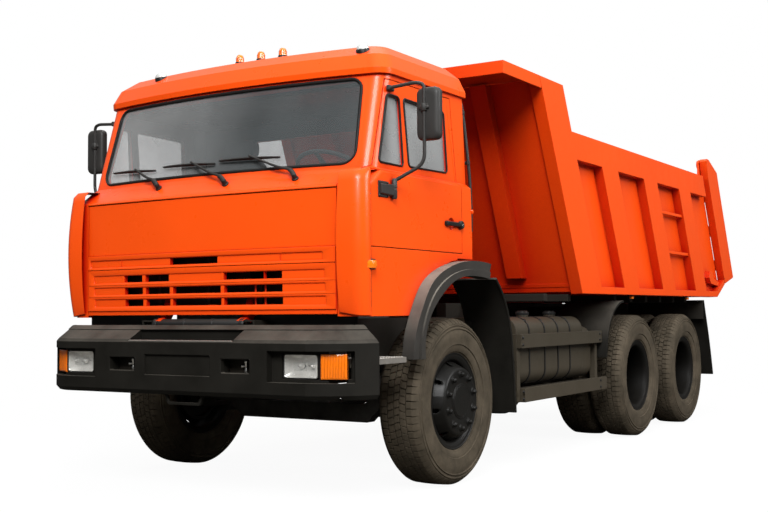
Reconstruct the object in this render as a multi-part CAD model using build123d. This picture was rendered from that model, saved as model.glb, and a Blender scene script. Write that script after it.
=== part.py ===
from build123d import *
import math
import os

# ---------------------------------------------------------------------------
# Three-axle dump truck, millimetres. +X is the truck's left side, +Y its rear,
# +Z up. Every piece is built with y = 0 at the front axle and z = 0 on the
# ground; save() moves it so that the origin is the middle of the truck's base.
# ---------------------------------------------------------------------------

# Overall
front_overhang = 1294          # bumper face to front axle
wheelbase = 3190               # front axle to the first rear axle
bogie_spacing = 1320           # between the two rear axles
rear_overhang = 1773           # last axle to the tailgate's rearmost corner
half_width = 1250              # half of the overall width
truck_length = front_overhang + wheelbase + bogie_spacing + rear_overhang
axle_to_origin = front_overhang - truck_length / 2

# Clearances
seat_gap = 0.3                 # between pieces that seat on each other
run_gap = 0.3                  # radial, shaft in bore
shut_gap = 5                   # round doors, flaps and lids

# Wheels
tyre_radius = 520
tyre_width = 290
tread_width = 216
bead_radius = 302
rim_radius = 264
rim_width = 220
rim_wall = 14
wheel_flats = 24               # flats round a tyre or a rim, one of them on the ground
hub_flats = 16
disc_offset = 160              # rim centre to the mounting face
disc_wall = 14
bolt_face_radius = 205
hand_hole_count = 8
hand_hole_radius = 27
front_tyre_x = 1030
dual_spacing = 320
rear_outer_x = 1105

# Hubs and brakes
hub_radius = 118
hub_cap_radius = 108
drum_radius = 208
spindle_radius = 44
axle_tube_radius = 74

# Driveline
gearbox_end = 1280
gearbox_out_z = 700
shaft_radius = 46
bowl_radius = 215
bowl_depth = 150
nose_reach = 300
pinion_z = tyre_radius + 70

# Frame
rail_top = 1040
rail_height = 287
rail_flange = 80
rail_wall = 10
frame_half = 441
frame_front_y = -1120
frame_rear_y = 5500
subframe_height = 104
subframe_width = 80

# Springs
bogie_spring_z = 824

# Front axle and steering
kingpin_x = 890
kingpin_radius = 25
beam_height = 120
beam_width = 90
beam_drop = 110
steer_arm_length = 210
tie_rod_radius = 22

# Cab outline, one row per level from the sill to the roof
# (height, front at the middle, bow of the front, half width, corner, rear)
cab_sections = [
    (1058, -1092, 42, 1150, 100, 262),
    (1795, -1092, 42, 1150, 100, 246),
    (1880, -1016, 84, 1148, 100, 243),
    (1908, -997, 92, 1112, 90, 242),
    (2476, -842, 96, 1100, 100, 226),
]
roof_sections = [
    (2476, -862, 96, 1118, 108, 244),
    (2510, -866, 96, 1118, 108, 244),
    (2600, -822, 90, 1082, 108, 222),
    (2668, -728, 80, 1010, 108, 170),
    (2712, -540, 66, 840, 108, 20),
]
cab_wall = 40
cab_pin_radius = 16
cab_sill = 1058
cab_rear_sill = 1416
cab_floor_z = 1400
cab_belt = 1905
panel_half = 977
panel_top = 1785
panel_split = 1455
panel_wall = 30
hull_wall = 40

wheel_centre = (620, -560, 1940)
wheel_lean = 28

# Doors
door_front_y = -966
door_rear_y = 112
door_sill = 1452
door_top = 2440
door_belt_front_y = -862
door_front_top_y = -706
door_rear_top_y = 52

# Wheel arch in the cab side
arch_points = [(-548, 1058), (-452, 1176), (-312, 1290), (-158, 1358), (-20, 1398), (60, 1406)]

# Body (tipper)
sill_bottom = 1211
sill_top = 1268
body_lean = 0.42               # forward lean of every post, mm per mm of height
side_taper = 1.43              # degrees, the side walls lean in towards the top
panel_inset = 75
side_panel = 20
post_front = 1890
post_width = 430
rib_front = 2850
rib_pitch = 1020
rib_width = 370
rib_count = 3
rail_low = 2246
rail_high = 2455
side_end = 5990
gate_front = 6006
gate_corner_z = 1437
gate_rear = wheelbase + bogie_spacing + rear_overhang + body_lean * (gate_corner_z - sill_bottom)
gate_depth = gate_rear - gate_front
gate_pin_radius = 24
floor_top = 1290
canopy_front = 622
canopy_top = 2790
canopy_lip = 88
kick_start = 5624
kick_rise = 0.455

# Joint axes
cab_hinge = (-1080, 1012)      # y, z
door_hinge = (1149, -968.5)    # x, y
door_inner_x = 1052
panel_hinge = (-1089, 1782.5)
bed_hinge = (5410, 1100)
gate_hinge = (5495, 2600)
hoist_foot = (1650, 860)
hoist_eye = (3600, 1115)


def block(x0, x1, y0, y1, z0, z1):
    """A box between two corners."""
    return Pos((x0 + x1) / 2, (y0 + y1) / 2, (z0 + z1) / 2) * Box(x1 - x0, y1 - y0, z1 - z0)


def side_slab(points, x0, x1):
    """A slab with its outline in the side view (y, z), from x0 to x1."""
    face = make_face(Polyline(*points, close=True))
    return extrude(Plane.YZ.offset(x0) * face, x1 - x0)


def front_slab(points, y0, y1):
    """A slab with its outline in the front view (x, z), from y0 to y1."""
    face = make_face(Polyline(*points, close=True))
    plane = Plane(origin=(0, y0, 0), x_dir=(1, 0, 0), z_dir=(0, -1, 0))
    return extrude(plane * face, y0 - y1)


def rod(start, end, radius):
    """A round bar between two points."""
    start = Vector(*start)
    along = Vector(*end) - start
    plane = Plane(origin=start, z_dir=along)
    return extrude(plane * Circle(radius), along.length)


def cross_rod(x0, x1, y, z, radius):
    """A round bar along X."""
    return rod((x0, y, z), (x1, y, z), radius)


def flip(shape):
    """The same shape on the other side of the truck."""
    return mirror(shape, about=Plane.YZ)


def both(shape):
    """A pair of shapes, left and right."""
    return Compound(children=[shape, flip(shape)])


def spun(profile, closed=True):
    """A solid turned about the X axis from (x, radius) points."""
    face = make_face(Polyline(*profile, close=closed))
    return revolve(face, Axis.X)


def turned(profile, flats):
    """A solid turned about the X axis in flats from (x, distance of the flat) points, a flat lowest."""
    step = 2 * math.pi / flats

    def corner(point, number):
        radius = point[1] / math.cos(step / 2)
        angle = (number + 0.5) * step
        return (point[0], radius * math.sin(angle), -radius * math.cos(angle))

    faces = []
    for number in range(flats):
        for first, second in zip(profile, profile[1:] + profile[:1]):
            ring = [corner(first, number), corner(second, number),
                    corner(second, number + 1), corner(first, number + 1)]
            if first[1] == 0:
                ring.pop()
            if second[1] == 0:
                ring.pop(1)
            if len(ring) > 2:
                faces.append(make_face(Polyline(*ring, close=True)))
    return Solid(Shell(faces))


def bar(start, end, size):
    """A square bar between two points."""
    start = Vector(*start)
    along = Vector(*end) - start
    plane = Plane(origin=start, z_dir=along)
    return extrude(plane * Rectangle(size, size), along.length)


def strip(points, wall, x0, x1):
    """A curved sheet through side-view points (y, z), wall thick to the left of their direction."""
    moved = []
    last = len(points) - 1
    for number, (y, z) in enumerate(points):
        before = points[max(number - 1, 0)]
        after = points[min(number + 1, last)]
        run = math.dist(before, after)
        moved.append((y - (after[1] - before[1]) * wall / run, z + (after[0] - before[0]) * wall / run))
    outline = Wire([Spline(*points), Line(points[-1], moved[-1]),
                    Spline(*reversed(moved)), Line(moved[0], points[0])])
    return extrude(Plane.YZ.offset(x0) * make_face(outline), x1 - x0)


def fuse(pieces):
    """One solid from overlapping pieces."""
    whole = pieces[0]
    for piece in pieces[1:]:
        whole = whole + piece
    return whole


# ---------------------------------------------------------------- wheels

def tyre():
    """A truck tyre about X, middle plane at x = 0."""
    half = tyre_width / 2
    tread = tread_width / 2
    bead = rim_width / 2 - 8
    side = [(tread, tyre_radius), (tread + 20, tyre_radius - 38), (half, (tyre_radius + bead_radius) / 2 + 14),
            (half - 6, bead_radius + 58), (bead, bead_radius + 4), (bead, rim_radius)]
    return turned([(-x, r) for x, r in reversed(side)] + side, wheel_flats)


def rim(face_side):
    """A rim and its dished disc about X; the bolt face is at face_side * disc_offset."""
    seat = rim_radius - seat_gap
    half = rim_width / 2
    inner = seat - rim_wall
    edge = bead_radius - 4
    lip = 8 - seat_gap
    root = half - 42
    face = disc_offset
    back = face - disc_wall
    profile = [(-half, edge), (-half, inner), (root - 16, inner), (back - 26, bolt_face_radius + 12),
               (back, bolt_face_radius - 6), (back, 60), (face, 60), (face, bolt_face_radius),
               (face - 26, bolt_face_radius + 22), (root, inner), (half, inner), (half, edge),
               (half - lip, edge), (half - lip, seat), (-half + lip, seat), (-half + lip, edge)]
    shape = turned(profile, wheel_flats)
    ring = (bolt_face_radius + inner) / 2 + 6
    plane = Plane.YZ.offset(root - 30)
    for number in range(hand_hole_count):
        angle = (number + 0.5) * 360 / hand_hole_count
        hole = Rot(0, 0, angle) * Pos(ring, 0) * RegularPolygon(hand_hole_radius, 8, rotation=22.5)
        shape = shape - extrude(plane * hole, face - root + 60)
    if face_side < 0:
        shape = mirror(shape, about=Plane.YZ)
    return shape


def hub(drum_x, end_x, face_x, cap_x):
    """Hub, end cap and brake drum about X; the spindle enters at drum_x."""
    wall = drum_radius - 22
    return turned([(drum_x + 8, 0), (drum_x + 8, hub_radius), (end_x - 24, hub_radius), (end_x - 24, wall),
                   (drum_x, wall), (drum_x, drum_radius), (end_x, drum_radius), (end_x, hub_radius),
                   (face_x, hub_radius), (face_x, hub_cap_radius), (cap_x - 4, hub_cap_radius),
                   (cap_x, hub_cap_radius - 4), (cap_x, 0)], hub_flats)


def front_wheel():
    """Left front rim, disc, hub and drum, at its place in x."""
    face_x = front_tyre_x + disc_offset
    body = Pos(front_tyre_x, 0, 0) * rim(1)
    body = body + hub(952, 1120, face_x - disc_wall + 2, face_x + 14)
    return body - cross_rod(900, 1100, 0, 0, spindle_radius + run_gap)


def rear_wheel():
    """Left rear pair of rims on one hub, at its place in x."""
    face_x = rear_outer_x - disc_offset
    outer = Pos(rear_outer_x, 0, 0) * rim(-1)
    inner = Pos(rear_outer_x - dual_spacing, 0, 0) * rim(1)
    body = outer + inner + hub(690, 880, face_x + 74, face_x + 116)
    return body - cross_rod(600, 900, 0, 0, spindle_radius + run_gap)


# ---------------------------------------------------------------- frame

def frame_rails():
    """Two channel rails, open to the inside."""
    z0 = rail_top - rail_height
    inner = frame_half - rail_flange
    profile = [(frame_half, z0), (frame_half, rail_top), (inner, rail_top),
               (inner, rail_top - rail_wall), (frame_half - rail_wall, rail_top - rail_wall),
               (frame_half - rail_wall, z0 + rail_wall), (inner, z0 + rail_wall), (inner, z0)]
    return both(front_slab(profile, frame_front_y, frame_rear_y))


cross_member_y = [-960, 1500, 3844, 5180, 5440]


def cross_members():
    """Channel cross-members between the rails' webs."""
    z0 = rail_top - rail_height + rail_wall + seat_gap
    z1 = rail_top - rail_wall - seat_gap
    reach = frame_half - rail_wall - seat_gap
    pieces = [cross_rod(-reach, reach, cab_hinge[0], cab_hinge[1], cab_pin_radius)]
    for y in cross_member_y:
        web = block(-reach, reach, y - 5, y + 5, z0, z1)
        top = block(-reach, reach, y, y + 60, z1 - 10, z1)
        foot = block(-reach, reach, y, y + 60, z0, z0 + 10)
        pieces.append(web + top + foot)
    return Compound(children=pieces)


def subframe():
    """Two timber-like steel runners on the rails that carry the body and its hinge."""
    z0 = rail_top + seat_gap
    z1 = z0 + subframe_height
    runner = block(frame_half - subframe_width, frame_half, 1180, frame_rear_y, z0, z1)
    ear_points = [(bed_hinge[0] - 90, rail_top + 20), (bed_hinge[0] - 45, bed_hinge[1] + 45),
                  (bed_hinge[0] + 45, bed_hinge[1] + 45), (bed_hinge[0] + 90, rail_top + 20)]
    ear = side_slab(ear_points, frame_half, frame_half + 24)
    pin = cross_rod(frame_half - subframe_width - 90, frame_half + 40, bed_hinge[0], bed_hinge[1], 30)
    return both(fuse([runner, ear, pin]))


def front_axle():
    """I-beam axle dropped between the springs, with kingpin bosses."""
    drop_z = tyre_radius - beam_drop
    end_x = kingpin_x
    points = [(-end_x + 40, tyre_radius - 45), (-620, tyre_radius - 60), (-520, drop_z - 50),
              (520, drop_z - 50), (620, tyre_radius - 60), (end_x - 40, tyre_radius - 45),
              (end_x - 40, tyre_radius + 45), (600, tyre_radius + 45), (500, drop_z + 70),
              (-500, drop_z + 70), (-600, tyre_radius + 45), (-end_x + 40, tyre_radius + 45)]
    beam = front_slab(points, -beam_width / 2, beam_width / 2)
    for side in (-1, 1):
        eye = Pos(side * kingpin_x, 0, tyre_radius) * Cylinder(48, 100)
        pin = Pos(side * kingpin_x, 0, tyre_radius) * Cylinder(kingpin_radius, 214)
        beam = beam + eye + pin
    return beam


def knuckle():
    """Left steering knuckle: a fork on the kingpin, the spindle and the steering arm."""
    z = tyre_radius
    fork = fuse([block(kingpin_x - 45, kingpin_x + 62, -48, 48, z + 55, z + 105),
                 block(kingpin_x - 45, kingpin_x + 62, -48, 48, z - 105, z - 55),
                 block(kingpin_x + 52, kingpin_x + 68, -95, 95, z - 105, z + 105)])
    spindle = cross_rod(kingpin_x + 60, 1096, 0, z, spindle_radius)
    arm = block(kingpin_x - 60, kingpin_x - 10, 30, steer_arm_length, z - 105, z - 75)
    eye = Pos(kingpin_x - 35, steer_arm_length, z - 90) * Cylinder(32, 30)
    shape = fuse([fork, spindle, arm, eye])
    return shape - Pos(kingpin_x, 0, z) * Cylinder(kingpin_radius + run_gap, 230)


def tie_rod():
    """Cross tie between the two steering arms, under them."""
    top = tyre_radius - 105 - seat_gap
    end_x = kingpin_x - 35
    z = top - tie_rod_radius
    bar = cross_rod(-end_x, end_x, steer_arm_length, z, tie_rod_radius - 2)
    for side in (-1, 1):
        bar = bar + Pos(side * end_x, steer_arm_length, z) * Cylinder(30, 2 * tie_rod_radius)
    return bar


def rear_axles():
    """Two banjo axles with their differential housings."""
    pieces = []
    tube_end = 684
    bowl = turned([(-bowl_depth, 0), (-bowl_depth, 150), (-80, bowl_radius), (80, bowl_radius),
                   (bowl_depth, 150), (bowl_depth, 0)], hub_flats)
    for y in (wheelbase, wheelbase + bogie_spacing):
        tube = cross_rod(-tube_end, tube_end, y, tyre_radius, axle_tube_radius)
        case = Pos(0, y, tyre_radius) * Rot(0, 0, 90) * bowl
        nose = rod((0, y - nose_reach, pinion_z), (0, y, pinion_z), 76)
        spindle = cross_rod(-896, 896, y, tyre_radius, spindle_radius)
        plates = cross_rod(-tube_end, -tube_end + 14, y, tyre_radius, 180)
        pad = block(495, 595, y - 50, y + 50, tyre_radius + 60, bogie_spring_z - 182.3)
        pieces.append(fuse([tube, case, nose, spindle, plates, flip(plates), pad, flip(pad)]))
    return Compound(children=pieces)


def leaf_pack(x0, x1, y_mid, length, z_mid, rise, leaves, leaf_wall):
    """A stack of leaves, shorter towards the axle side."""
    pieces = []
    for number in range(leaves):
        reach = length / 2 * (1 - number * 0.16)
        z_top = z_mid - number * leaf_wall
        pieces.append(side_slab([(y_mid - reach, z_top + rise * (reach * 2 / length) ** 2 - leaf_wall),
                                 (y_mid - reach, z_top + rise * (reach * 2 / length) ** 2),
                                 (y_mid, z_top), (y_mid + reach, z_top + rise * (reach * 2 / length) ** 2),
                                 (y_mid + reach, z_top + rise * (reach * 2 / length) ** 2 - leaf_wall),
                                 (y_mid, z_top - leaf_wall - 0.5)], x0, x1))
    return fuse(pieces)


def leaf_springs():
    """Front springs on the beam and rear springs over the bogie."""
    drop_top = tyre_radius - beam_drop + 70
    front = leaf_pack(370, 460, 0, 1500, drop_top + seat_gap + 4 * 24 + 1, 130, 4, 24)
    rail_foot = rail_top - rail_height - seat_gap
    for y in (-735, 735):
        front = front + block(385, 445, y - 40, y + 40, 680, rail_foot)
    rear_mid = wheelbase + bogie_spacing / 2
    rear = leaf_pack(500, 590, rear_mid, bogie_spacing + 60, bogie_spring_z, -150, 4, 32)
    seat = block(505, 585, rear_mid - 90, rear_mid + 90, 600, bogie_spring_z - 120)
    trunnion = cross_rod(frame_half + seat_gap, 600, rear_mid, 610, 52)
    bracket = block(frame_half + seat_gap, frame_half + 34, rear_mid - 120, rear_mid + 120, 560, 960)
    rear = fuse([rear, seat, trunnion, bracket])
    return Compound(children=[front, flip(front), rear, flip(rear)])


def engine():
    """Engine as one plain block with the gearbox behind it."""
    block_part = block(-340, 340, -700, 420, 700, 1330)
    bell = block(-230, 230, 410, 700, 760, 1180)
    box = block(-170, 170, 690, gearbox_end, 640, 1000)
    return fuse([block_part, bell, box])


def propshafts():
    """Gearbox to first rear axle, and on to the second."""
    start_y = gearbox_end
    end_y = wheelbase - nose_reach
    tilt = shaft_radius * (gearbox_out_z - pinion_z) / (end_y - start_y) + seat_gap
    first = rod((0, start_y + tilt, gearbox_out_z), (0, end_y - tilt, pinion_z), shaft_radius)
    start_y = wheelbase + bowl_depth + seat_gap
    end_y = wheelbase + bogie_spacing - nose_reach - seat_gap
    second = rod((0, start_y, pinion_z), (0, end_y, pinion_z), shaft_radius)
    return Compound(children=[first, second])


# ---------------------------------------------------------------- sides of the chassis

tank_bands = [930, 1151, 1421, 1665, 1897, 2157]


def fuel_tank():
    """Banded tank on the left of the frame with its lower end piece, shelf and two fillers."""
    def length(y0, y1, width, z0, z1, corner):
        face = Plane.XZ * Pos(1130 - width / 2, (z0 + z1) / 2) * RectangleRounded(width, z1 - z0, corner)
        return Pos(0, y0, 0) * extrude(face, y0 - y1)

    pieces = [length(tank_bands[0], tank_bands[-1], 580, 567, 1023, 90)]
    for start, end in zip(tank_bands, tank_bands[1:]):
        band = length(start, end - 16, 590, 555, 1035, 100)
        pieces.append(Pos(6, 0, 0) * band)
    pieces.append(length(tank_bands[-1] - 20, 2330, 560, 555, 955, 90))
    for y in (1540, 2045):
        pieces.append(Pos(900, y, 1036) * Cylinder(46, 34))
    for y in (1200, 2100):
        pieces.append(block(frame_half + seat_gap, frame_half + 30, y - 30, y + 30, 539, 1000))
        pieces.append(block(frame_half + seat_gap, 1000, y - 30, y + 30, 539, 557))
        pieces.append(block(frame_half + 20, 560, y - 30, y + 30, 780, 820))
    return fuse(pieces)


def side_guards():
    """Two guard bars a side with end brackets."""
    x0, x1 = 1160, 1200
    upper = block(x0, x1, 880, 2404, 822, 918)
    lower = block(x0, x1, 930, 2500, 446, 543)
    posts = []
    for y in (902, 2360):
        posts.append(block(x0 - 40, x0 + 4, y - 25, y + 25, 446, 918))
        posts.append(block(frame_half + seat_gap, x0 - 30, y - 20, y + 20, 880, 915))
    return both(fuse([upper, lower] + posts))


def air_tanks():
    """Air receivers and the battery box on the right of the frame."""
    pieces = []
    for y in (1040, 1560):
        pieces.append(Pos(-780, y + 230, 800) * Rot(90, 0, 0) * Cylinder(140, 460))
        pieces.append(Pos(-780, y + 230, 620) * Rot(90, 0, 0) * Cylinder(40, 40))
    for y in (1270, 1790):
        pieces.append(block(-660, -frame_half - seat_gap, y - 30, y + 30, 760, 840))
    return Compound(children=[pieces[0] + pieces[4], pieces[2] + pieces[5]])


# Bumper outline, one row per level
# (height, front at the middle, end of the straight front, arc's middle, arc's end, half width)
bumper_rows = [
    (605, -1274, 930, (1066, -1212), (1180, -1100), 1218),
    (630, -1294, 930, (1080, -1228), (1195, -1105), 1236),
    (912, -1294, 930, (1080, -1228), (1195, -1105), 1236),
    (930, -1280, 930, (1072, -1216), (1180, -1098), 1222),
    (1010, -1140, 900, (1040, -1105), (1120, -1050), 1136),
]
bumper_rear = -1025
bumper_back = -1128            # behind the front wall, between the wrapped ends
bumper_wall = 88
bumper_inner = -front_overhang + bumper_wall
lamp_level = (716, 856)
headlamp_x = (735, 977)
indicator_plan = [(988, -1234), (1122, -1171), (1122, -1110), (988, -1180)]


def bumper_face(row):
    """The bumper's outline seen from above at one level."""
    z, front, straight, middle, end, half = row
    points = [(straight, front), middle, end, (half, bumper_rear)]
    other = [(-x, y) for x, y in points]
    outline = Wire([Line(other[0], points[0]), ThreePointArc(*points[:3]), Line(points[2], points[3]),
                    Line(points[3], other[3]), Line(other[3], other[2]),
                    ThreePointArc(other[2], other[1], other[0])])
    return make_face(outline)


def bumper():
    """Wide bumper, its ends wrapped back, with recesses for lamps, plate, step and hooks."""
    shape = loft([Plane.XY.offset(row[0]) * bumper_face(row) for row in bumper_rows], ruled=True)
    widest = bumper_face(bumper_rows[2])
    front = -front_overhang
    inside = extrude(Plane.XY.offset(590) * offset(widest, -bumper_wall), 295)
    shape = shape - inside - block(-1100, 1100, bumper_back, -900, 500, 1200)
    shape = shape - block(-1100, 1100, bumper_inner + 2, -900, 590, 885)
    recess = extrude(Plane.XY.offset(697) * widest, 173) - extrude(Plane.XY.offset(690) * offset(widest, -50), 190)
    for side in (-1, 1):
        x0, x1 = sorted((side * 666, side * 1160))
        shape = shape - (recess & block(x0, x1, -1400, -1060, 690, 880))
        x0, x1 = sorted((side * (headlamp_x[0] - seat_gap), side * (headlamp_x[1] + seat_gap)))
        z0, z1 = lamp_level[0] - seat_gap, lamp_level[1] + seat_gap
        shape = shape - block(x0, x1, -1300, -1150, z0, z1)
        x0, x1 = sorted((side * (indicator_plan[0][0] - seat_gap), side * (indicator_plan[1][0] + seat_gap)))
        shape = shape - block(x0, x1, -1300, -1100, z0, z1)
        x0, x1 = sorted((side * 333, side * 547))
        shape = shape - block(x0, x1, front - 10, -1150, 738, 824)
    shape = shape - block(-257, 257, front - 10, front + 14, 717, 841)
    shape = shape - block(-388, 421, -1276, -1172, 905, 1100)
    shape = shape - block(-388, 421, front - 10, -1275, 916, 960)
    loop = [(-131, -1240, 618), (-104, -1240, 552), (134, -1240, 552), (161, -1240, 618)]
    return fuse([shape] + [bar(start, end, 16) for start, end in zip(loop, loop[1:])])


def headlamps():
    """Headlamps in the bumper."""
    return both(block(headlamp_x[0], headlamp_x[1], -1238, -1180, *lamp_level))


def indicators():
    """Amber lamps beside the headlamps, turned with the bumper's corner."""
    face = make_face(Polyline(*indicator_plan, close=True))
    return both(extrude(Plane.XY.offset(lamp_level[0]) * face, lamp_level[1] - lamp_level[0]))


def steps():
    """Tread-plate entry steps ahead of the front wheels."""
    plate = block(950, 1190, -990, -660, 790, 822)
    hanger = block(frame_half + seat_gap, 1000, -960, -900, 770, 800)
    return both(plate + hanger)


def front_mudguards():
    """Rear halves of the front arches with their flaps."""
    arch = [(420, 1290), (520, 1190), (590, 1080), (640, 940), (664, 800), (684, 600), (700, 395)]
    left = strip(arch, 16, 900, 1235) + block(frame_half + seat_gap, 950, 600, 660, 950, 1010)
    return both(left)


def bogie_mudguards():
    """Guards ahead of and behind the bogie."""
    front = strip([(2418, 700), (2442, 840), (2500, 960), (2620, 1078), (2820, 1145)], 18, 760, 1240)
    rear = strip([(5150, 1170), (5200, 1040), (5260, 900), (5350, 650), (5420, 414)], 18, 760, 1240)
    left = fuse([front, block(frame_half + seat_gap, 800, 2650, 2700, 1010, 1116)])
    right = fuse([rear, block(frame_half + seat_gap, 800, 5170, 5215, 990, 1090)])
    return Compound(children=[left, flip(left), right, flip(right)])


def tail_lamps():
    """Tail lamp boxes on the frame's end."""
    lamp = block(700, 1040, 5440, 5500, 985, 1085)
    arm = block(frame_half + seat_gap, 720, 5450, 5490, 1010, 1060)
    return both(lamp + arm)


def tow_gear():
    """Plates that carry the bumper behind its tow windows, and the pintle at the rear."""
    pieces = []
    for side in (-1, 1):
        x = side * 440
        plate = block(x - 125, x + 125, bumper_inner + seat_gap, bumper_inner + 16, 700, 862)
        lug = block(x - 60, x + 60, bumper_inner + 14, frame_front_y - seat_gap, 744, 818)
        pieces.append(plate + lug)
    hook = block(-70, 70, 5445.3, 5600, 840, 960) - Pos(0, 5560, 900) * Cylinder(26, 200)
    pieces.append(hook)
    return Compound(children=pieces)


# ---------------------------------------------------------------- cab

def plan_outline(front, bow, half, corner, rear):
    """The cab's outline seen from above."""
    edge_y = front + bow
    mid = corner * (1 - math.sqrt(0.5))
    end = (half - corner, edge_y)
    side = (half, edge_y + corner)
    return Wire([ThreePointArc((-end[0], end[1]), (0, front), end),
                 ThreePointArc(end, (half - mid, edge_y + mid), side),
                 Line(side, (half, rear)),
                 Line((half, rear), (-half, rear)),
                 Line((-half, rear), (-side[0], side[1])),
                 ThreePointArc((-side[0], side[1]), (-half + mid, edge_y + mid), (-end[0], end[1]))])


def hull(sections, inset=0.0, foot=0.0, head=0.0):
    """A lofted cab volume, shrunk by inset, carried on below by foot and above by head."""
    rows = list(sections)
    if foot > 0:
        rows.insert(0, (rows[0][0] - foot,) + rows[0][1:])
    if head > 0:
        share = head / (rows[-1][0] - rows[-2][0])
        rows.append(tuple(last + (last - before) * share for before, last in zip(rows[-2], rows[-1])))
    if head < 0:
        rows[-1] = (rows[-1][0] + head,) + rows[-1][1:]
    faces = []
    for z, front, bow, half, corner, rear in rows:
        outline = plan_outline(front + inset, bow, half - inset, corner - inset * 0.5, rear - inset)
        faces.append(make_face(Plane.XY.offset(z) * outline))
    return loft(faces, ruled=True)


def door_outline(grow):
    """The door's outline in the side view."""
    return [(door_front_y - grow, door_sill - grow), (door_front_y - grow, cab_belt - 25),
            (door_belt_front_y - grow, cab_belt + 14), (door_front_top_y - grow, door_top + grow),
            (door_rear_top_y + grow, door_top + grow), (door_rear_y + grow, cab_belt),
            (door_rear_y + grow, door_sill - grow)]


def screen_face(inset):
    """Windscreen outline in the front view, corners rounded."""
    points = [(-1010 + inset, 1925 + inset), (-975 + inset, 2462 - inset),
              (975 - inset, 2462 - inset), (1010 - inset, 1925 + inset)]
    face = make_face(Polyline(*points, close=True))
    return fillet(face.vertices(), 90 - inset * 0.5)


def front_prism(face, y0, y1):
    """Extrude a front-view face from y0 to y1."""
    plane = Plane(origin=(0, y0, 0), x_dir=(1, 0, 0), z_dir=(0, -1, 0))
    return extrude(plane * face, y0 - y1)


def side_prism(face, x0, x1):
    """Extrude a side-view face from x0 to x1."""
    return extrude(Plane.YZ.offset(x0) * face, x1 - x0)


quarter_window = [(-822, 1940), (-712, 2356), (-574, 2356), (-546, 1940)]
main_window = [(-486, 1946), (-530, 2356), (-30, 2346), (-4, 1956)]


def window_face(points, inset):
    """A side window's outline, corners rounded."""
    middle_y = sum(point[0] for point in points) / len(points)
    middle_z = sum(point[1] for point in points) / len(points)
    moved = []
    for y, z in points:
        moved.append((y + math.copysign(inset, middle_y - y), z + math.copysign(inset, middle_z - z)))
    face = make_face(Polyline(*moved, close=True))
    return fillet(face.vertices(), 26)


front_zone = block(-panel_half - shut_gap, panel_half + shut_gap, -1200, -980, 1000, panel_top)


def cab_shell():
    """Cab body: sides, pillars, rear wall, floor, engine cover and roof."""
    skin = hull(cab_sections) - hull(cab_sections, cab_wall, foot=200, head=-30)
    roof = hull(roof_sections) - hull(roof_sections, 30, foot=10, head=-30)
    floor = hull(cab_sections, cab_wall - 2) & block(-1200, 1200, -1060, 300, cab_floor_z, cab_floor_z + 40)
    bulkhead = hull(cab_sections, cab_wall - 2) & block(-1200, 1200, -1000, -970, 1120, 1870)
    shell = skin + roof + floor + bulkhead
    shell = shell - front_zone
    shell = shell - front_prism(screen_face(0), -1300, -600)
    for side in (-1, 1):
        cut = side_slab(door_outline(shut_gap), door_inner_x - shut_gap, 1300)
        if side < 0:
            cut = flip(cut)
        shell = shell - cut
    arch = arch_points + [(400, 1406), (400, 900), (-548, 900)]
    shell = shell - side_slab(arch, -1300, 1300)
    shell = shell - block(-1300, 1300, 50, 400, 900, cab_rear_sill)
    shell = shell - block(-620, 620, 120, 400, 1880, 2330)
    arm_points = [(-1105, 985), (-1050, 985), (-972, 1100), (-972, 1200), (-995, 1200), (-1052, 1062), (-1105, 1040)]
    for x0 in (300, -350):
        shell = shell + side_slab(arm_points, x0, x0 + 50)
    return shell - cross_rod(-400, 400, cab_hinge[0], cab_hinge[1], cab_pin_radius + run_gap)


def door(side):
    """A door with its two window openings, its handle in a dish and its hinge pin."""
    skin = hull(cab_sections) - hull(cab_sections, cab_wall, foot=200, head=200)
    shape = skin & side_slab(door_outline(0), door_inner_x, 1300)
    shape = shape - side_prism(window_face(quarter_window, 0), 1000, 1300)
    shape = shape - side_prism(window_face(main_window, 0), 1000, 1300)
    dish = Pos(1150, -27, 1631) * Rot(0, 90, 0) * Cone(30, 50, 28)
    grip = block(1150 - 6, 1168, -106, -84, 1621, 1641) + block(1158, 1168, -106, 96, 1621, 1641)
    shape = shape - dish + grip + block(1150 - 6, 1168, 76, 96, 1621, 1641)
    pin = rod((*door_hinge, door_sill + 20), (*door_hinge, 1780), shut_gap / 2 - 0.25)
    pair = Compound(children=[shape, pin])
    return pair if side > 0 else flip(pair)


def door_glass(side):
    """Quarter and main window of a door."""
    skin = hull(cab_sections, 16) - hull(cab_sections, 22, foot=200, head=200)
    panes = [skin & side_prism(window_face(points, seat_gap), 1000, 1300)
             for points in (quarter_window, main_window)]
    pair = Compound(children=panes)
    return pair if side > 0 else flip(pair)


def cab_glass():
    """Windscreen and rear window."""
    skin = hull(cab_sections, 10) - hull(cab_sections, 17, foot=200, head=200)
    screen = skin & front_prism(screen_face(35), -1300, -600)
    rear_skin = hull(cab_sections, 14) - hull(cab_sections, 20, foot=200, head=200)
    rear = rear_skin & block(-620 + seat_gap, 620 - seat_gap, 120, 400, 1880 + seat_gap, 2330 - seat_gap)
    return Compound(children=[screen, rear])


def screen_seal():
    """Rubber frame between the windscreen and the cab."""
    band = hull(cab_sections, -6, head=50) - hull(cab_sections, 24, foot=200, head=200)
    ring = front_prism(screen_face(seat_gap), -1300, -600) - front_prism(screen_face(35 - seat_gap), -1400, -500)
    return band & ring


def front_panel():
    """Smooth lid under the windscreen."""
    skin = hull(cab_sections) - hull(cab_sections, panel_wall, foot=200, head=200)
    zone = block(-panel_half, panel_half, -1200, -985, panel_split, panel_top - shut_gap)
    pin = cross_rod(-200, 200, panel_hinge[0], panel_hinge[1], shut_gap / 2 - seat_gap)
    return Compound(children=[skin & zone, pin])


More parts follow.
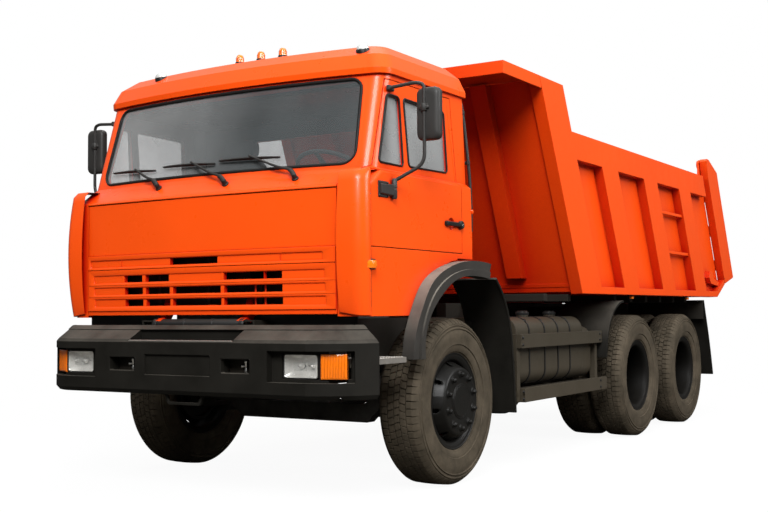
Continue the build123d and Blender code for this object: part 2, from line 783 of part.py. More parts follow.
# Slots through the grille: (bottom, top, then pairs of left and right ends)
grille_slots = [
    (1380, 1428, [(-239, 141)]),
    (1280, 1325, [(-637, -477), (-449, -248), (188, 389), (483, 612)]),
    (1203, 1247, [(-633, -471), (-445, -240), (-213, 166), (192, 615)]),
    (1130, 1175, [(-627, -467), (-439, -235), (-213, 171), (192, 619)]),
]
# Pressed lines in the grille: (height, left end, right end)
grille_lines = [(1362, -960, 895), (1262, -930, 905), (1188, -930, 905), (1104, -930, 905)]


def grille_panel():
    """Slotted lower half of the lid."""
    skin = hull(cab_sections) - hull(cab_sections, panel_wall, foot=200, head=200)
    zone = block(-panel_half, panel_half, -1200, -985, cab_sill + 14, panel_split - seat_gap)
    shape = skin & zone
    rim_skin = hull(cab_sections) - hull(cab_sections, 6, foot=200, head=200)
    for z, x0, x1 in grille_lines:
        shape = shape - (rim_skin & block(x0, x1, -1200, -985, z - 4, z + 4))
    for z0, z1, slots in grille_slots:
        for x0, x1 in slots:
            shape = shape - block(x0, x1, -1200, -980, z0, z1)
    return shape


flare_outer = [(-640, 805), (-599, 987), (-539, 1091), (-417, 1245), (-216, 1346), (48, 1398), (372, 1389)]
flare_middle = [(-572, 805), (-515, 1030), (-375, 1205), (-192, 1300), (46, 1346), (342, 1334)]
flare_inner = [(-520, 805), (-444, 1067), (-320, 1175), (-167, 1262), (46, 1303), (326, 1290)]


def arch_band(outer, inner, x0, x1):
    """A slab between two curved side-view lines."""
    outline = Wire([Spline(*outer), Line(outer[-1], inner[-1]),
                    Spline(*reversed(inner)), Line(inner[0], outer[0])])
    return extrude(Plane.YZ.offset(x0) * make_face(outline), x1 - x0)


def cab_flares():
    """Black wheel-arch flares on the cab's lower corners, with a lip round the opening."""
    band = arch_band(flare_outer, flare_inner, half_width - 99.7, half_width - 22)
    lip = arch_band(flare_middle, flare_inner, half_width - 30, half_width - 10)
    return both(band + lip)


def roof_lamps():
    """Three amber lamps on the roof and a clear one at each side."""
    under = Pos(0, 0, seat_gap) * hull(roof_sections)
    pieces = []
    for x in (-52, 120, 293):
        lamp = Pos(x, -640, 2700) * Cylinder(22, 46) + Pos(x, -640, 2729) * Cone(22, 12, 12)
        pieces.append(lamp - under)
    for x in (-717, 888):
        wedge = side_slab([(-760, 2600), (-752, 2640), (-650, 2668), (-640, 2600)], x - 42, x + 42)
        pieces.append(wedge - under)
    return Compound(children=pieces)


# Wipers: (pivot x, pivot height, blade's left end and its height, blade's right end and its height)
wiper_table = [(-400, 1868, -905, 2008, -480, 1990), (160, 1855, -408, 2006, 28, 1990),
               (661, 1855, 62, 2004, 508, 1990)]


def front_skin(x, z):
    """Where the cab's front is in y at a place on it under the windscreen's top."""
    low, high = [(a, b) for a, b in zip(cab_sections, cab_sections[1:]) if a[0] <= z <= b[0]][0]
    share = (z - low[0]) / (high[0] - low[0])
    front, bow, half, corner = [low[k] + (high[k] - low[k]) * share for k in (1, 2, 3, 4)]
    return front + bow * (x / (half - corner)) ** 2


def wipers():
    """Wiper arms and blades on the windscreen."""
    pieces = []
    for x, z, left, left_z, right, right_z in wiper_table:
        foot = Vector(x, front_skin(x, z), z)
        out = Vector(0, -0.745, 0.667)
        lift = 0.6 + 15 * abs(front_skin(x + 1, z) - front_skin(x, z))
        pivot = rod(foot + out * lift, foot + out * 34, 15)
        middle = ((left + right) / 2, (left_z + right_z) / 2)
        tip = (middle[0], front_skin(*middle) - 22, middle[1])
        ends = [(bx, front_skin(bx, bz) - 15, bz) for bx, bz in ((left, left_z), (right, right_z))]
        pieces.append(fuse([pivot, bar(foot + out * 27, tip, 13), bar(ends[0], ends[1], 14)]))
    return Compound(children=pieces)


def mirror_set(side):
    """Mirror head, its bent tube and its two brackets on the door."""
    x = 1330
    y = -672
    path = [(1112, -700, 2388), (1285, -684, 2404), (1322, -674, 2393), (x, y, 2366),
            (x, y, 1962), (1312, -684, 1918), (1168, -728, 1838)]
    tube = [bar(start, end, 21) for start, end in zip(path, path[1:])]
    face = Plane.XZ * Pos(1345, 2221) * RectangleRounded(150, 308, 34)
    head = Pos(0, y + 8, 0) * extrude(face, -52)
    plates = [block(1150.3, 1168, -891, -770, 1734, 1826), block(1104, 1128, -712, -664, 2372, 2404),
              rod((1166, -735, 1734), (1166, -735, 1846), 14), block(1152, 1170, -775, -730, 1765, 1800)]
    shape = fuse(tube + [head] + plates)
    return shape if side > 0 else flip(shape)


def seats():
    """Driver's and passenger's seats."""
    pieces = []
    floor = cab_floor_z + 40
    for x in (620, -620):
        base = block(x - 230, x + 230, -420, 20, floor + seat_gap, floor + 330)
        back = block(x - 230, x + 230, 20 + seat_gap, 130, floor + 100, floor + 900)
        pieces.append(base)
        pieces.append(back)
    return Compound(children=pieces)


def dashboard():
    """Instrument shelf behind the windscreen."""
    inner = hull(cab_sections, cab_wall + seat_gap, foot=200, head=200)
    half = door_inner_x - shut_gap
    return inner & block(-half, half, -970 + seat_gap, -760, 1700, 1850)


def steering_wheel():
    """Steering wheel and column."""
    rim_points = [(-14, 230), (-7, 242), (7, 242), (14, 230), (7, 218), (-7, 218)]
    ring = Rot(0, 90, 0) * turned(rim_points, wheel_flats)
    spokes = Box(450, 34, 12) + Box(34, 450, 12)
    lean = math.radians(wheel_lean)
    length = (wheel_centre[2] - cab_floor_z - 40 - seat_gap) / math.cos(lean) - 28 * math.tan(lean)
    column = Pos(0, 0, -length / 2) * Cylinder(28, length)
    wheel = ring + spokes + column
    return Pos(*wheel_centre) * Rot(-wheel_lean, 0, 0) * wheel


# ---------------------------------------------------------------- tipper body

def leaned(y_at_sill, z):
    """Where a leaning line that starts at y_at_sill on the sill is at height z."""
    return y_at_sill - body_lean * (z - sill_bottom)


def lean_slab(y0, y1, z0, z1, x0, x1):
    """A slab between two leaning lines."""
    points = [(leaned(y0, z0), z0), (leaned(y1, z0), z0), (leaned(y1, z1), z1), (leaned(y0, z1), z1)]
    return side_slab(points, x0, x1)


def kick_end(y_at_sill, base):
    """Where a leaning line meets the rising tail line that leaves the level `base`."""
    y = (y_at_sill - body_lean * (base - sill_bottom) + body_lean * kick_rise * kick_start)
    y = y / (1 + body_lean * kick_rise)
    return (y, base + (y - kick_start) * kick_rise)


def body_side():
    """Left side wall with post, ribs, sill and top rail, before its taper."""
    skin_x0 = half_width - panel_inset - side_panel
    skin_x1 = half_width - panel_inset
    panel = side_slab([(leaned(post_front, 1225), 1225), (kick_start, 1225), kick_end(side_end, 1225),
                       (leaned(side_end, rail_high), rail_high),
                       (leaned(post_front + post_width, rail_high), rail_high),
                       (leaned(post_front + post_width, canopy_top - 5), canopy_top - 5),
                       (leaned(post_front, canopy_top - 5), canopy_top - 5)], skin_x0, skin_x1)
    pieces = [panel]
    pieces.append(lean_slab(post_front, post_front + post_width, sill_bottom, canopy_top - 5, skin_x0, half_width))
    pieces.append(lean_slab(post_front + 20, side_end - 180, rail_low, rail_high, skin_x0, half_width))
    pieces.append(side_slab([(leaned(post_front, sill_bottom), sill_bottom), (kick_start, sill_bottom),
                             kick_end(side_end, sill_bottom), kick_end(side_end, sill_top),
                             (kick_start, sill_top), (leaned(post_front, sill_top), sill_top)],
                            skin_x0, half_width))
    for number in range(rib_count):
        y = rib_front + number * rib_pitch
        pieces.append(lean_slab(y, y + rib_width, sill_top - 10, rail_low + 10, skin_x0, half_width))
    for z in (1623, 1990):
        start = leaned(rib_front + rib_pitch + rib_width, z)
        end = leaned(rib_front + 2 * rib_pitch, z)
        pieces.append(bar((half_width - 30, start - 5, z), (half_width - 30, end + 5, z), 26))
    pieces.append(side_slab([(5438, 1412), (5470, 1480), (5545, 1480), (5600, 1402), (5770, 1372),
                             (5770, 1330), (5570, 1342), (5490, 1352)], skin_x1 - 5, half_width - 22))
    bracket_y = gate_hinge[0]
    pieces.append(side_slab([(bracket_y - 90, rail_high - 20), (bracket_y - 60, gate_hinge[1] + 20),
                             (bracket_y - 20, gate_hinge[1] + 50), (bracket_y + 30, gate_hinge[1] + 40),
                             (bracket_y + 40, rail_high - 120), (bracket_y - 60, rail_high - 120)],
                            skin_x0, skin_x1 - shut_gap))
    return fuse(pieces)


def tapered(shape):
    """Lean a left side piece in towards the top about the sill's outer edge."""
    axis = Axis((half_width, 0, sill_bottom), (0, 1, 0))
    return shape.rotate(axis, -side_taper)


def narrowing(half):
    """The space between the two leaning side walls, half wide at the sill."""
    top = 2900
    top_half = half - (top - sill_bottom) * math.tan(math.radians(side_taper))
    return front_slab([(-half, sill_bottom), (half, sill_bottom), (top_half, top), (-top_half, top)], 0, 8000)


def dump_body():
    """Tipper body: sides, floor, bearers, front wall and canopy."""
    left = tapered(body_side())
    inner = half_width - panel_inset - 10
    floor = side_slab([(leaned(post_front, 1262) + 20, 1262), (kick_start, 1262),
                       kick_end(side_end, 1262), kick_end(side_end, floor_top), (kick_start, floor_top),
                       (leaned(post_front, floor_top) + 20, floor_top)], -inner, inner)
    wall = lean_slab(post_front + 24, post_front + 64, sill_bottom + 14, canopy_top - 20, -inner, inner)
    wall = wall & narrowing(inner)
    pieces = [left, flip(left), floor, wall]
    for side in (-1, 1):
        x0, x1 = sorted((side * 660, side * 793))
        pieces.append(lean_slab(post_front - 60, post_front + 40, 1335, canopy_top - 30, x0, x1))
    canopy_half = half_width - (canopy_top - sill_bottom) * math.tan(math.radians(side_taper))
    rear_y = leaned(post_front + post_width, canopy_top)
    tray = block(-canopy_half, canopy_half, canopy_front, rear_y, canopy_top - canopy_lip, canopy_top)
    hollow = block(-canopy_half + 12, canopy_half - 12, canopy_front + 12, rear_y + 10,
                   canopy_top - canopy_lip - 5, canopy_top - 12)
    behind_wall = side_slab([(leaned(post_front, 2600), 2600), (rear_y + 50, 2600),
                             (rear_y + 50, canopy_top - 11), (leaned(post_front, canopy_top), canopy_top - 11)],
                            -canopy_half - 5, canopy_half + 5)
    pieces.append(tray - hollow - behind_wall)
    for x0, x1 in ((380, 460), (-460, -380)):
        pieces.append(block(x0, x1, leaned(post_front, 1262) + 60, bed_hinge[0] - 65, 1150, 1264))
    for y in range(2200, 5500, 470):
        pieces.append(block(-inner, inner, y, y + 70, sill_bottom, 1264))
    for side in (-1, 1):
        x0, x1 = sorted((side * 290, side * 340))
        ear = side_slab([(bed_hinge[0] - 90, 1264), (bed_hinge[0] - 42, bed_hinge[1] - 30),
                         (bed_hinge[0] + 42, bed_hinge[1] - 30), (bed_hinge[0] + 90, 1264)], x0, x1)
        pieces.append(ear)
    pieces.append(block(-120, -70, hoist_eye[0] - 70, hoist_eye[0] + 70, hoist_eye[1] - 60, 1264))
    pieces.append(block(70, 120, hoist_eye[0] - 70, hoist_eye[0] + 70, hoist_eye[1] - 60, 1264))
    shape = fuse(pieces)
    for side in (-1, 1):
        x0, x1 = sorted((side * 1105, side * 1130))
        shape = shape + cross_rod(x0, x1, gate_hinge[0], gate_hinge[1], 44)
        x0, x1 = sorted((side * 1080, side * 1180))
        shape = shape - cross_rod(x0, x1, gate_hinge[0], gate_hinge[1], gate_pin_radius + run_gap)
    return shape - cross_rod(-360, 360, bed_hinge[0], bed_hinge[1], 30 + run_gap)


def tailgate():
    """Rear gate: side members, panel and hinge plates, hung from its top pins."""
    x1 = half_width
    x0 = half_width - panel_inset
    low_y, low = kick_end(gate_front, sill_bottom)
    side_points = [(low_y, low), (leaned(gate_front, 2440), 2440),
                   (gate_hinge[0] - 45, gate_hinge[1] + 30), (gate_hinge[0] - 20, gate_hinge[1] + 55),
                   (gate_hinge[0] + 40, gate_hinge[1] + 50), (gate_hinge[0] + 330, gate_hinge[1] - 60),
                   (leaned(gate_front + gate_depth, 2395), 2395),
                   (leaned(gate_front + gate_depth, gate_corner_z), gate_corner_z),
                   (leaned(gate_front + gate_depth, gate_corner_z) - 20, gate_corner_z - 12)]
    side = tapered(side_slab(side_points, x0, x1))
    panel_inner = x0 - 24
    panel = lean_slab(gate_front, gate_front + 60, low + 20, rail_high, -panel_inner, panel_inner)
    panel = panel & narrowing(panel_inner - 4)
    pieces = [side, flip(side), panel]
    for z in (1500, 1860, 2220):
        beam = lean_slab(gate_front + 50, gate_front + 130, z, z + 110, -x0 - 2, x0 + 2)
        pieces.append(beam & narrowing(x0 + 10))
    pin = cross_rod(1100, 1200, gate_hinge[0], gate_hinge[1], gate_pin_radius)
    pieces.append(pin)
    pieces.append(flip(pin))
    return fuse(pieces)


# ---------------------------------------------------------------- hoist

hoist_run = math.dist(hoist_foot, hoist_eye)
hoist_angle = math.degrees(math.atan2(hoist_eye[1] - hoist_foot[1], hoist_eye[0] - hoist_foot[0]))
barrel_radius = 82
sleeve_radius = 66
ram_radius = 50


def hoist_place(shape):
    """Move a cylinder piece built along +Z from the foot pin to its place."""
    return Pos(0, hoist_foot[0], hoist_foot[1]) * Rot(hoist_angle - 90, 0, 0) * shape


def hoist_barrel():
    """Outer tube with its foot eye."""
    length = hoist_run - 90
    tube = Pos(0, 0, length / 2 + 30) * Cylinder(barrel_radius, length - 60)
    bore = Pos(0, 0, length / 2 + 80) * Cylinder(sleeve_radius + run_gap, length)
    foot = Pos(0, 0, 0) * Rot(0, 90, 0) * Cylinder(60, 120)
    neck = Pos(0, 0, 40) * Cylinder(60, 60)
    shape = fuse([tube, foot, neck]) - bore
    return hoist_place(shape - Rot(0, 90, 0) * Cylinder(28 + run_gap, 200))


def hoist_sleeve():
    """Middle tube."""
    start = 90
    end = hoist_run - 70
    tube = Pos(0, 0, (start + end) / 2) * Cylinder(sleeve_radius, end - start)
    bore = Pos(0, 0, (start + end) / 2 + 60) * Cylinder(ram_radius + run_gap, end - start)
    return hoist_place(tube - bore)


def hoist_ram():
    """Inner tube with its eye under the body."""
    start = 170
    tube = Pos(0, 0, (start + hoist_run) / 2) * Cylinder(ram_radius, hoist_run - start)
    eye = Pos(0, 0, hoist_run) * Rot(0, 90, 0) * Cylinder(50, 130)
    return hoist_place(tube + eye)


def hoist_bed():
    """Cross tube between the rails that holds the hoist's foot pin."""
    reach = frame_half - rail_wall - seat_gap
    pin = cross_rod(-reach, reach, hoist_foot[0], hoist_foot[1], 28)
    collars = [cross_rod(side * 66, side * reach, hoist_foot[0], hoist_foot[1], 45) for side in (-1, 1)]
    return fuse([pin] + collars)


# ---------------------------------------------------------------- output

def save(name, shape):
    """Write one piece, moved to the truck's own origin."""
    placed = Pos(0, axle_to_origin, 0) * shape
    export_step(placed, "parts/" + name + ".step")


def wheel_set():
    """Tyres and wheels, one body for each front wheel and each twin pair."""
    left_front = Pos(0, 0, tyre_radius)
    save("front_tyre_left", left_front * Pos(front_tyre_x, 0, 0) * tyre())
    save("front_tyre_right", left_front * Pos(-front_tyre_x, 0, 0) * tyre())
    wheel = left_front * front_wheel()
    save("front_wheel_left", wheel)
    save("front_wheel_right", flip(wheel))
    twin = Compound(children=[Pos(rear_outer_x, 0, 0) * tyre(),
                              Pos(rear_outer_x - dual_spacing, 0, 0) * tyre()])
    rear = rear_wheel()
    for name, y in (("first", wheelbase), ("second", wheelbase + bogie_spacing)):
        place = Pos(0, y, tyre_radius)
        save(name + "_rear_tyres_left", place * twin)
        save(name + "_rear_tyres_right", flip(place * twin))
        save(name + "_rear_wheel_left", place * rear)
        save(name + "_rear_wheel_right", flip(place * rear))


def main():
    """Build and write every piece."""
    os.makedirs("parts", exist_ok=True)
    wheel_set()
    left_knuckle = knuckle()
    pieces = {
        "frame_rails": frame_rails(), "cross_members": cross_members(), "subframe": subframe(),
        "front_axle": front_axle(), "rear_axles": rear_axles(), "leaf_springs": leaf_springs(),
        "engine": engine(), "propshafts": propshafts(), "fuel_tank": fuel_tank(),
        "side_guards": side_guards(), "air_tanks": air_tanks(), "bumper": bumper(),
        "headlamps": headlamps(), "indicators": indicators(), "steps": steps(),
        "front_mudguards": front_mudguards(), "bogie_mudguards": bogie_mudguards(),
        "tail_lamps": tail_lamps(), "tow_gear": tow_gear(),
        "hoist_bed": hoist_bed(), "knuckle_left": left_knuckle, "knuckle_right": flip(left_knuckle),
        "tie_rod": tie_rod(), "cab_shell": cab_shell(), "cab_glass": cab_glass(),
        "screen_seal": screen_seal(), "cab_flares": cab_flares(), "roof_lamps": roof_lamps(),
        "wipers": wipers(), "seats": seats(), "dashboard": dashboard(),
        "steering_wheel": steering_wheel(), "front_panel": front_panel(),
        "grille_panel": grille_panel(), "door_left": door(1), "door_right": door(-1),
        "door_glass_left": door_glass(1), "door_glass_right": door_glass(-1),
        "mirror_left": mirror_set(1), "mirror_right": mirror_set(-1),
        "dump_body": dump_body(), "tailgate": tailgate(), "hoist_barrel": hoist_barrel(),
        "hoist_sleeve": hoist_sleeve(), "hoist_ram": hoist_ram(),
    }
    for name, shape in pieces.items():
        save(name, shape)


main()
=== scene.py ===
"""Looks of the dump truck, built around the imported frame."""
import math

import bmesh
import bpy
from mathutils import Matrix, Vector


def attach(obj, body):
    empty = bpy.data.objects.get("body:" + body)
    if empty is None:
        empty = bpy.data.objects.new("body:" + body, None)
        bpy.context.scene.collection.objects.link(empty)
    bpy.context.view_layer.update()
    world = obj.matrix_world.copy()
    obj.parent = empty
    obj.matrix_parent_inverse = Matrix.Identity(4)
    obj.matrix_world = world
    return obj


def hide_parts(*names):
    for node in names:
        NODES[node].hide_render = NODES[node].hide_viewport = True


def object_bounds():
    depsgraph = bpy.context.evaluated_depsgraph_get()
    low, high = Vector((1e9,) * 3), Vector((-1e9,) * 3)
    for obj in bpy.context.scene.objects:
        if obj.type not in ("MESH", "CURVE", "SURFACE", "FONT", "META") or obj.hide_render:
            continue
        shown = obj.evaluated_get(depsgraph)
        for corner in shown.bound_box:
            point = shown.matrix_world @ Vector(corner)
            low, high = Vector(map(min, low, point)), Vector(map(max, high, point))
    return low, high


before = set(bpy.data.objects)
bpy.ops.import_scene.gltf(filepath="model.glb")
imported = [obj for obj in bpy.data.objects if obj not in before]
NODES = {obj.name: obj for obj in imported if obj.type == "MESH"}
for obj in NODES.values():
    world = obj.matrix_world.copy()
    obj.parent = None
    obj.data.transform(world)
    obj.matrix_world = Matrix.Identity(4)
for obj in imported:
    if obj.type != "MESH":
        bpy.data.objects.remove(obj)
CAD_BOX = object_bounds()
AXLE_Y = -2494.5          # mm, where the front axle lies in the row frame
SIDES = (("left", 1), ("right", -1))
TURN = 2 * math.pi


def P(x, y, z):
    """A point given in mm from the front axle's middle, as metres in the row frame."""
    return Vector((x / 1000, (y + AXLE_Y) / 1000, z / 1000))


def mm(points):
    return [P(*p) for p in points]


def link_object(name, data):
    obj = bpy.data.objects.new(name, data)
    bpy.context.scene.collection.objects.link(obj)
    return obj


# ------------------------------------------------------------------ node helpers

def feed(nt, socket, value):
    """Links a socket to an output, or gives it a value."""
    if isinstance(value, bpy.types.NodeSocket):
        nt.links.new(value, socket)
    elif socket.type == "RGBA" and len(value) == 3:
        socket.default_value = (*value, 1)
    else:
        socket.default_value = value


def node(nt, kind, **values):
    """A shader node. A value goes to the input of its name, with _ for a space, or else to the attribute."""
    n = nt.nodes.new("ShaderNode" + kind)
    for key, value in values.items():
        socket = n.inputs.get(key.replace("_", " "))
        if socket is None:
            setattr(n, key, value)
        else:
            feed(nt, socket, value)
    return n


def new_material(name, **values):
    mat = bpy.data.materials.new(name)
    mat.use_nodes = True
    nt = mat.node_tree
    nt.nodes.clear()
    bsdf = node(nt, "BsdfPrincipled", **values)
    out = node(nt, "OutputMaterial", Surface=bsdf.outputs[0])
    return mat, nt, bsdf, out


def coords(nt):
    return node(nt, "TexCoord").outputs["Object"]


def axes(nt, vector):
    return node(nt, "SeparateXYZ", Vector=vector).outputs


def noise(nt, vector, scale, detail=4.0, rough=0.55):
    return node(nt, "TexNoise", Vector=vector, Scale=scale, Detail=detail, Roughness=rough).outputs["Fac"]


def wave(nt, vector, scale):
    return node(nt, "TexWave", Vector=vector, Scale=scale).outputs["Fac"]


def ramp(nt, fac, stops):
    """A colour ramp; each stop has its place and a colour or a grey."""
    n = node(nt, "ValToRGB", Fac=fac)
    while len(n.color_ramp.elements) < len(stops):
        n.color_ramp.elements.new(0.5)
    for element, (place, colour) in zip(n.color_ramp.elements, stops):
        element.position = place
        element.color = (*colour, 1) if isinstance(colour, tuple) else (colour, colour, colour, 1)
    return n.outputs["Color"]


def mix(nt, fac, a, b):
    n = node(nt, "Mix", data_type="RGBA")
    for socket, value in ((0, fac), (6, a), (7, b)):
        feed(nt, n.inputs[socket], value)
    return n.outputs[2]


def maths(nt, operation, a, b=0.0, clamp=False):
    n = node(nt, "Math", operation=operation, use_clamp=clamp)
    feed(nt, n.inputs[0], a)
    feed(nt, n.inputs[1], b)
    return n.outputs[0]


def times(nt, first, *others):
    for other in others:
        first = maths(nt, "MULTIPLY", first, other)
    return first


def mix_shader(nt, share, first, second):
    n = node(nt, "MixShader")
    for socket, value in zip(n.inputs, (share, first.outputs[0], second.outputs[0])):
        nt.links.new(value, socket)
    return n


def surface(nt, bsdf, bumps, bevel=0.0):
    """Chain of bumps (fac, strength, distance) over an optional rounded-edge normal."""
    normal = node(nt, "Bevel", samples=4, Radius=bevel).outputs[0] if bevel else None
    for fac, strength, distance in bumps:
        n = node(nt, "Bump", Height=fac, Strength=strength, Distance=distance)
        if normal is not None:
            nt.links.new(normal, n.inputs["Normal"])
        normal = n.outputs[0]
    nt.links.new(normal, bsdf.inputs["Normal"])


# ------------------------------------------------------------------ materials

DUST = (0.32, 0.24, 0.17)
PALE_TOP_TONE = (0.24, 0.215, 0.18)


def painted_shade_in_hollows(nt, base, reach, deep):
    """Painted shade: turns a colour towards the deep colour, darker and redder, where ambient occlusion finds the
    surface closed in.
    """
    shade_node = node(nt, "AmbientOcclusion", samples=6, Distance=reach)
    return mix(nt, ramp(nt, shade_node.outputs["AO"], [(0.25, 0), (0.95, 1)]), deep, base)


def lined(nt, base, lining):
    """Swaps a colour for the lining's inside the cab, whose room and roof space are given in metres."""
    x, y, z = axes(nt, coords(nt))
    x = maths(nt, "ABSOLUTE", x)

    def above(value, low):
        return maths(nt, "GREATER_THAN", value, low)

    def below(value, high):
        return maths(nt, "LESS_THAN", value, high)

    lean = maths(nt, "ADD", y, times(nt, z, -0.273))
    room = times(nt, below(x, 1.082), above(z, 1.905), below(z, 2.5), above(lean, -3.81), below(y, -2.292))
    sky = times(nt, below(x, 0.95), above(z, 2.4), below(z, 2.652), above(y, -3.09), below(y, -2.40))
    return mix(nt, maths(nt, "MAXIMUM", room, sky), base, lining)


def paint(name, colour, bevel=0.006, rough=0.3, film_share=0.25, coat=0.12, deep=None, lining=None, spec=0.2, reach=0.9):
    mat, nt, bsdf, _ = new_material(name, Coat_Weight=coat, Specular_IOR_Level=spec, Coat_Roughness=0.08)
    vec = coords(nt)
    cloud = noise(nt, vec, 1.1, 3)
    base = mix(nt, ramp(nt, cloud, [(0.35, 0), (0.7, 1)]), tuple(c * 0.93 for c in colour), colour)
    grime = noise(nt, vec, 5.5, 6, 0.65)
    low = ramp(nt, axes(nt, vec)[2], [(0.0, 1), (1.0, 0)])
    base = mix(nt, maths(nt, "MULTIPLY", times(nt, low, grime), film_share, clamp=True), base, DUST)
    # Painted shade: closed-in places turn towards the deep colour.
    if deep:
        base = painted_shade_in_hollows(nt, base, reach, deep)
    if lining:
        base = lined(nt, base, lining)
    feed(nt, bsdf.inputs["Base Color"], base)
    feed(nt, bsdf.inputs["Roughness"], ramp(nt, grime, [(0.3, rough * 0.85), (0.75, rough * 1.25)]))
    surface(nt, bsdf, [(noise(nt, vec, 260, 2), 0.05, 0.0004), (cloud, 0.12, 0.004)], bevel)
    return mat


def plastic(name, colour, film_share=0.12, grain=900, bevel=0.004, rough=0.62, spec=0.16):
    """Moulded plastic, mixed in patches towards a pale grey, most on the faces that look up."""
    mat, nt, bsdf, _ = new_material(name, Specular_IOR_Level=spec)
    vec = coords(nt)
    grime = noise(nt, vec, 4.0, 7, 0.65)
    film = maths(nt, "MULTIPLY", ramp(nt, grime, [(0.3, 0.25), (0.75, 1)]), film_share, clamp=True)
    # Faces that look up turn paler than those that face sideways or down.
    upward = ramp(nt, axes(nt, node(nt, "NewGeometry").outputs["Normal"])[2], [(0.25, 0), (0.85, 1)])
    lying = maths(nt, "ADD", times(nt, upward, 0.9), 0.1)
    feed(nt, bsdf.inputs["Base Color"], mix(nt, times(nt, film, lying), colour, PALE_TOP_TONE))
    feed(nt, bsdf.inputs["Roughness"], ramp(nt, grime, [(0.3, rough * 0.85), (0.8, min(1, rough * 1.3))]))
    surface(nt, bsdf, [(noise(nt, vec, grain, 2), 0.35, 0.0006)], bevel)
    return mat


def tyre_rubber(name):
    mat, nt, bsdf, _ = new_material(name, Roughness=0.78, Specular_IOR_Level=0.12)
    vec = coords(nt)
    grime = ramp(nt, noise(nt, vec, 7.0, 7, 0.7), [(0.3, 0), (0.7, 1)])
    feed(nt, bsdf.inputs["Base Color"], mix(nt, grime, (0.034, 0.028, 0.019), (0.088, 0.070, 0.049)))
    surface(nt, bsdf, [(noise(nt, vec, 420, 3), 0.35, 0.001)])
    return mat


def metal(name, colour, rough, bevel=0.003, metallic=1.0):
    mat, nt, bsdf, _ = new_material(name, Metallic=metallic)
    vec = coords(nt)
    grime = noise(nt, vec, 9, 6)
    feed(nt, bsdf.inputs["Base Color"],
         mix(nt, ramp(nt, grime, [(0.35, 0), (0.75, 1)]), colour, tuple(c * 0.6 for c in colour)))
    feed(nt, bsdf.inputs["Roughness"], ramp(nt, grime, [(0.3, rough * 0.8), (0.8, min(1, rough * 1.4))]))
    surface(nt, bsdf, [(noise(nt, vec, 300, 2), 0.15, 0.0006)], bevel)
    return mat


def see_through(nt, bsdf, out, colour, share):
    """Lets light of a colour through a surface; share is what the surface itself keeps."""
    clear = node(nt, "BsdfTransparent", Color=colour)
    nt.links.new(mix_shader(nt, share, clear, bsdf).outputs[0], out.inputs[0])


def pane(name, tint, clear=0.55, painted_sheen=None):
    """Thin glass: mostly see-through, with a clean reflection and a painted sheen, a pale grey in its colour that fades
    from right to left.
    """
    mat, nt, bsdf, out = new_material(name, Base_Color=tint, Roughness=0.03, Specular_IOR_Level=0.6)
    vec = coords(nt)
    # Painted sheen: the colour goes from the tint to a pale grey across the pane.
    if painted_sheen:
        across = maths(nt, "MULTIPLY", maths(nt, "ADD", axes(nt, vec)[0], 1.0), 0.5, clamp=True)
        feed(nt, bsdf.inputs["Base Color"], mix(nt, ramp(nt, across, [(0.1, 0), (0.65, 1)]), painted_sheen, tint))
    share = ramp(nt, noise(nt, vec, 2.3, 5), [(0.3, 0.95 - clear), (0.75, 1.07 - clear)])
    see_through(nt, bsdf, out, tuple(min(1, 0.90 + t) for t in tint), share)
    return mat


def lens(name, colour, rough=0.12, flute=90.0):
    mat, nt, bsdf, _ = new_material(name, Roughness=rough, Coat_Weight=1.0)
    vec = coords(nt)
    feed(nt, bsdf.inputs["Base Color"], mix(nt, noise(nt, vec, 14, 3), colour, tuple(c * 0.8 for c in colour)))
    surface(nt, bsdf, [(wave(nt, vec, flute), 0.4, 0.003)], 0.003)
    return mat


def fluted_glass(name, tint):
    """Clear lamp glass with pressed flutes."""
    mat, nt, bsdf, out = new_material(name, Base_Color=tint, Roughness=0.04, Specular_IOR_Level=0.7)
    flutes = wave(nt, coords(nt), 38.0)
    surface(nt, bsdf, [(flutes, 0.6, 0.004)])
    see_through(nt, bsdf, out, (0.97, 0.97, 0.96), ramp(nt, flutes, [(0.2, 0.06), (0.8, 0.24)]))
    return mat


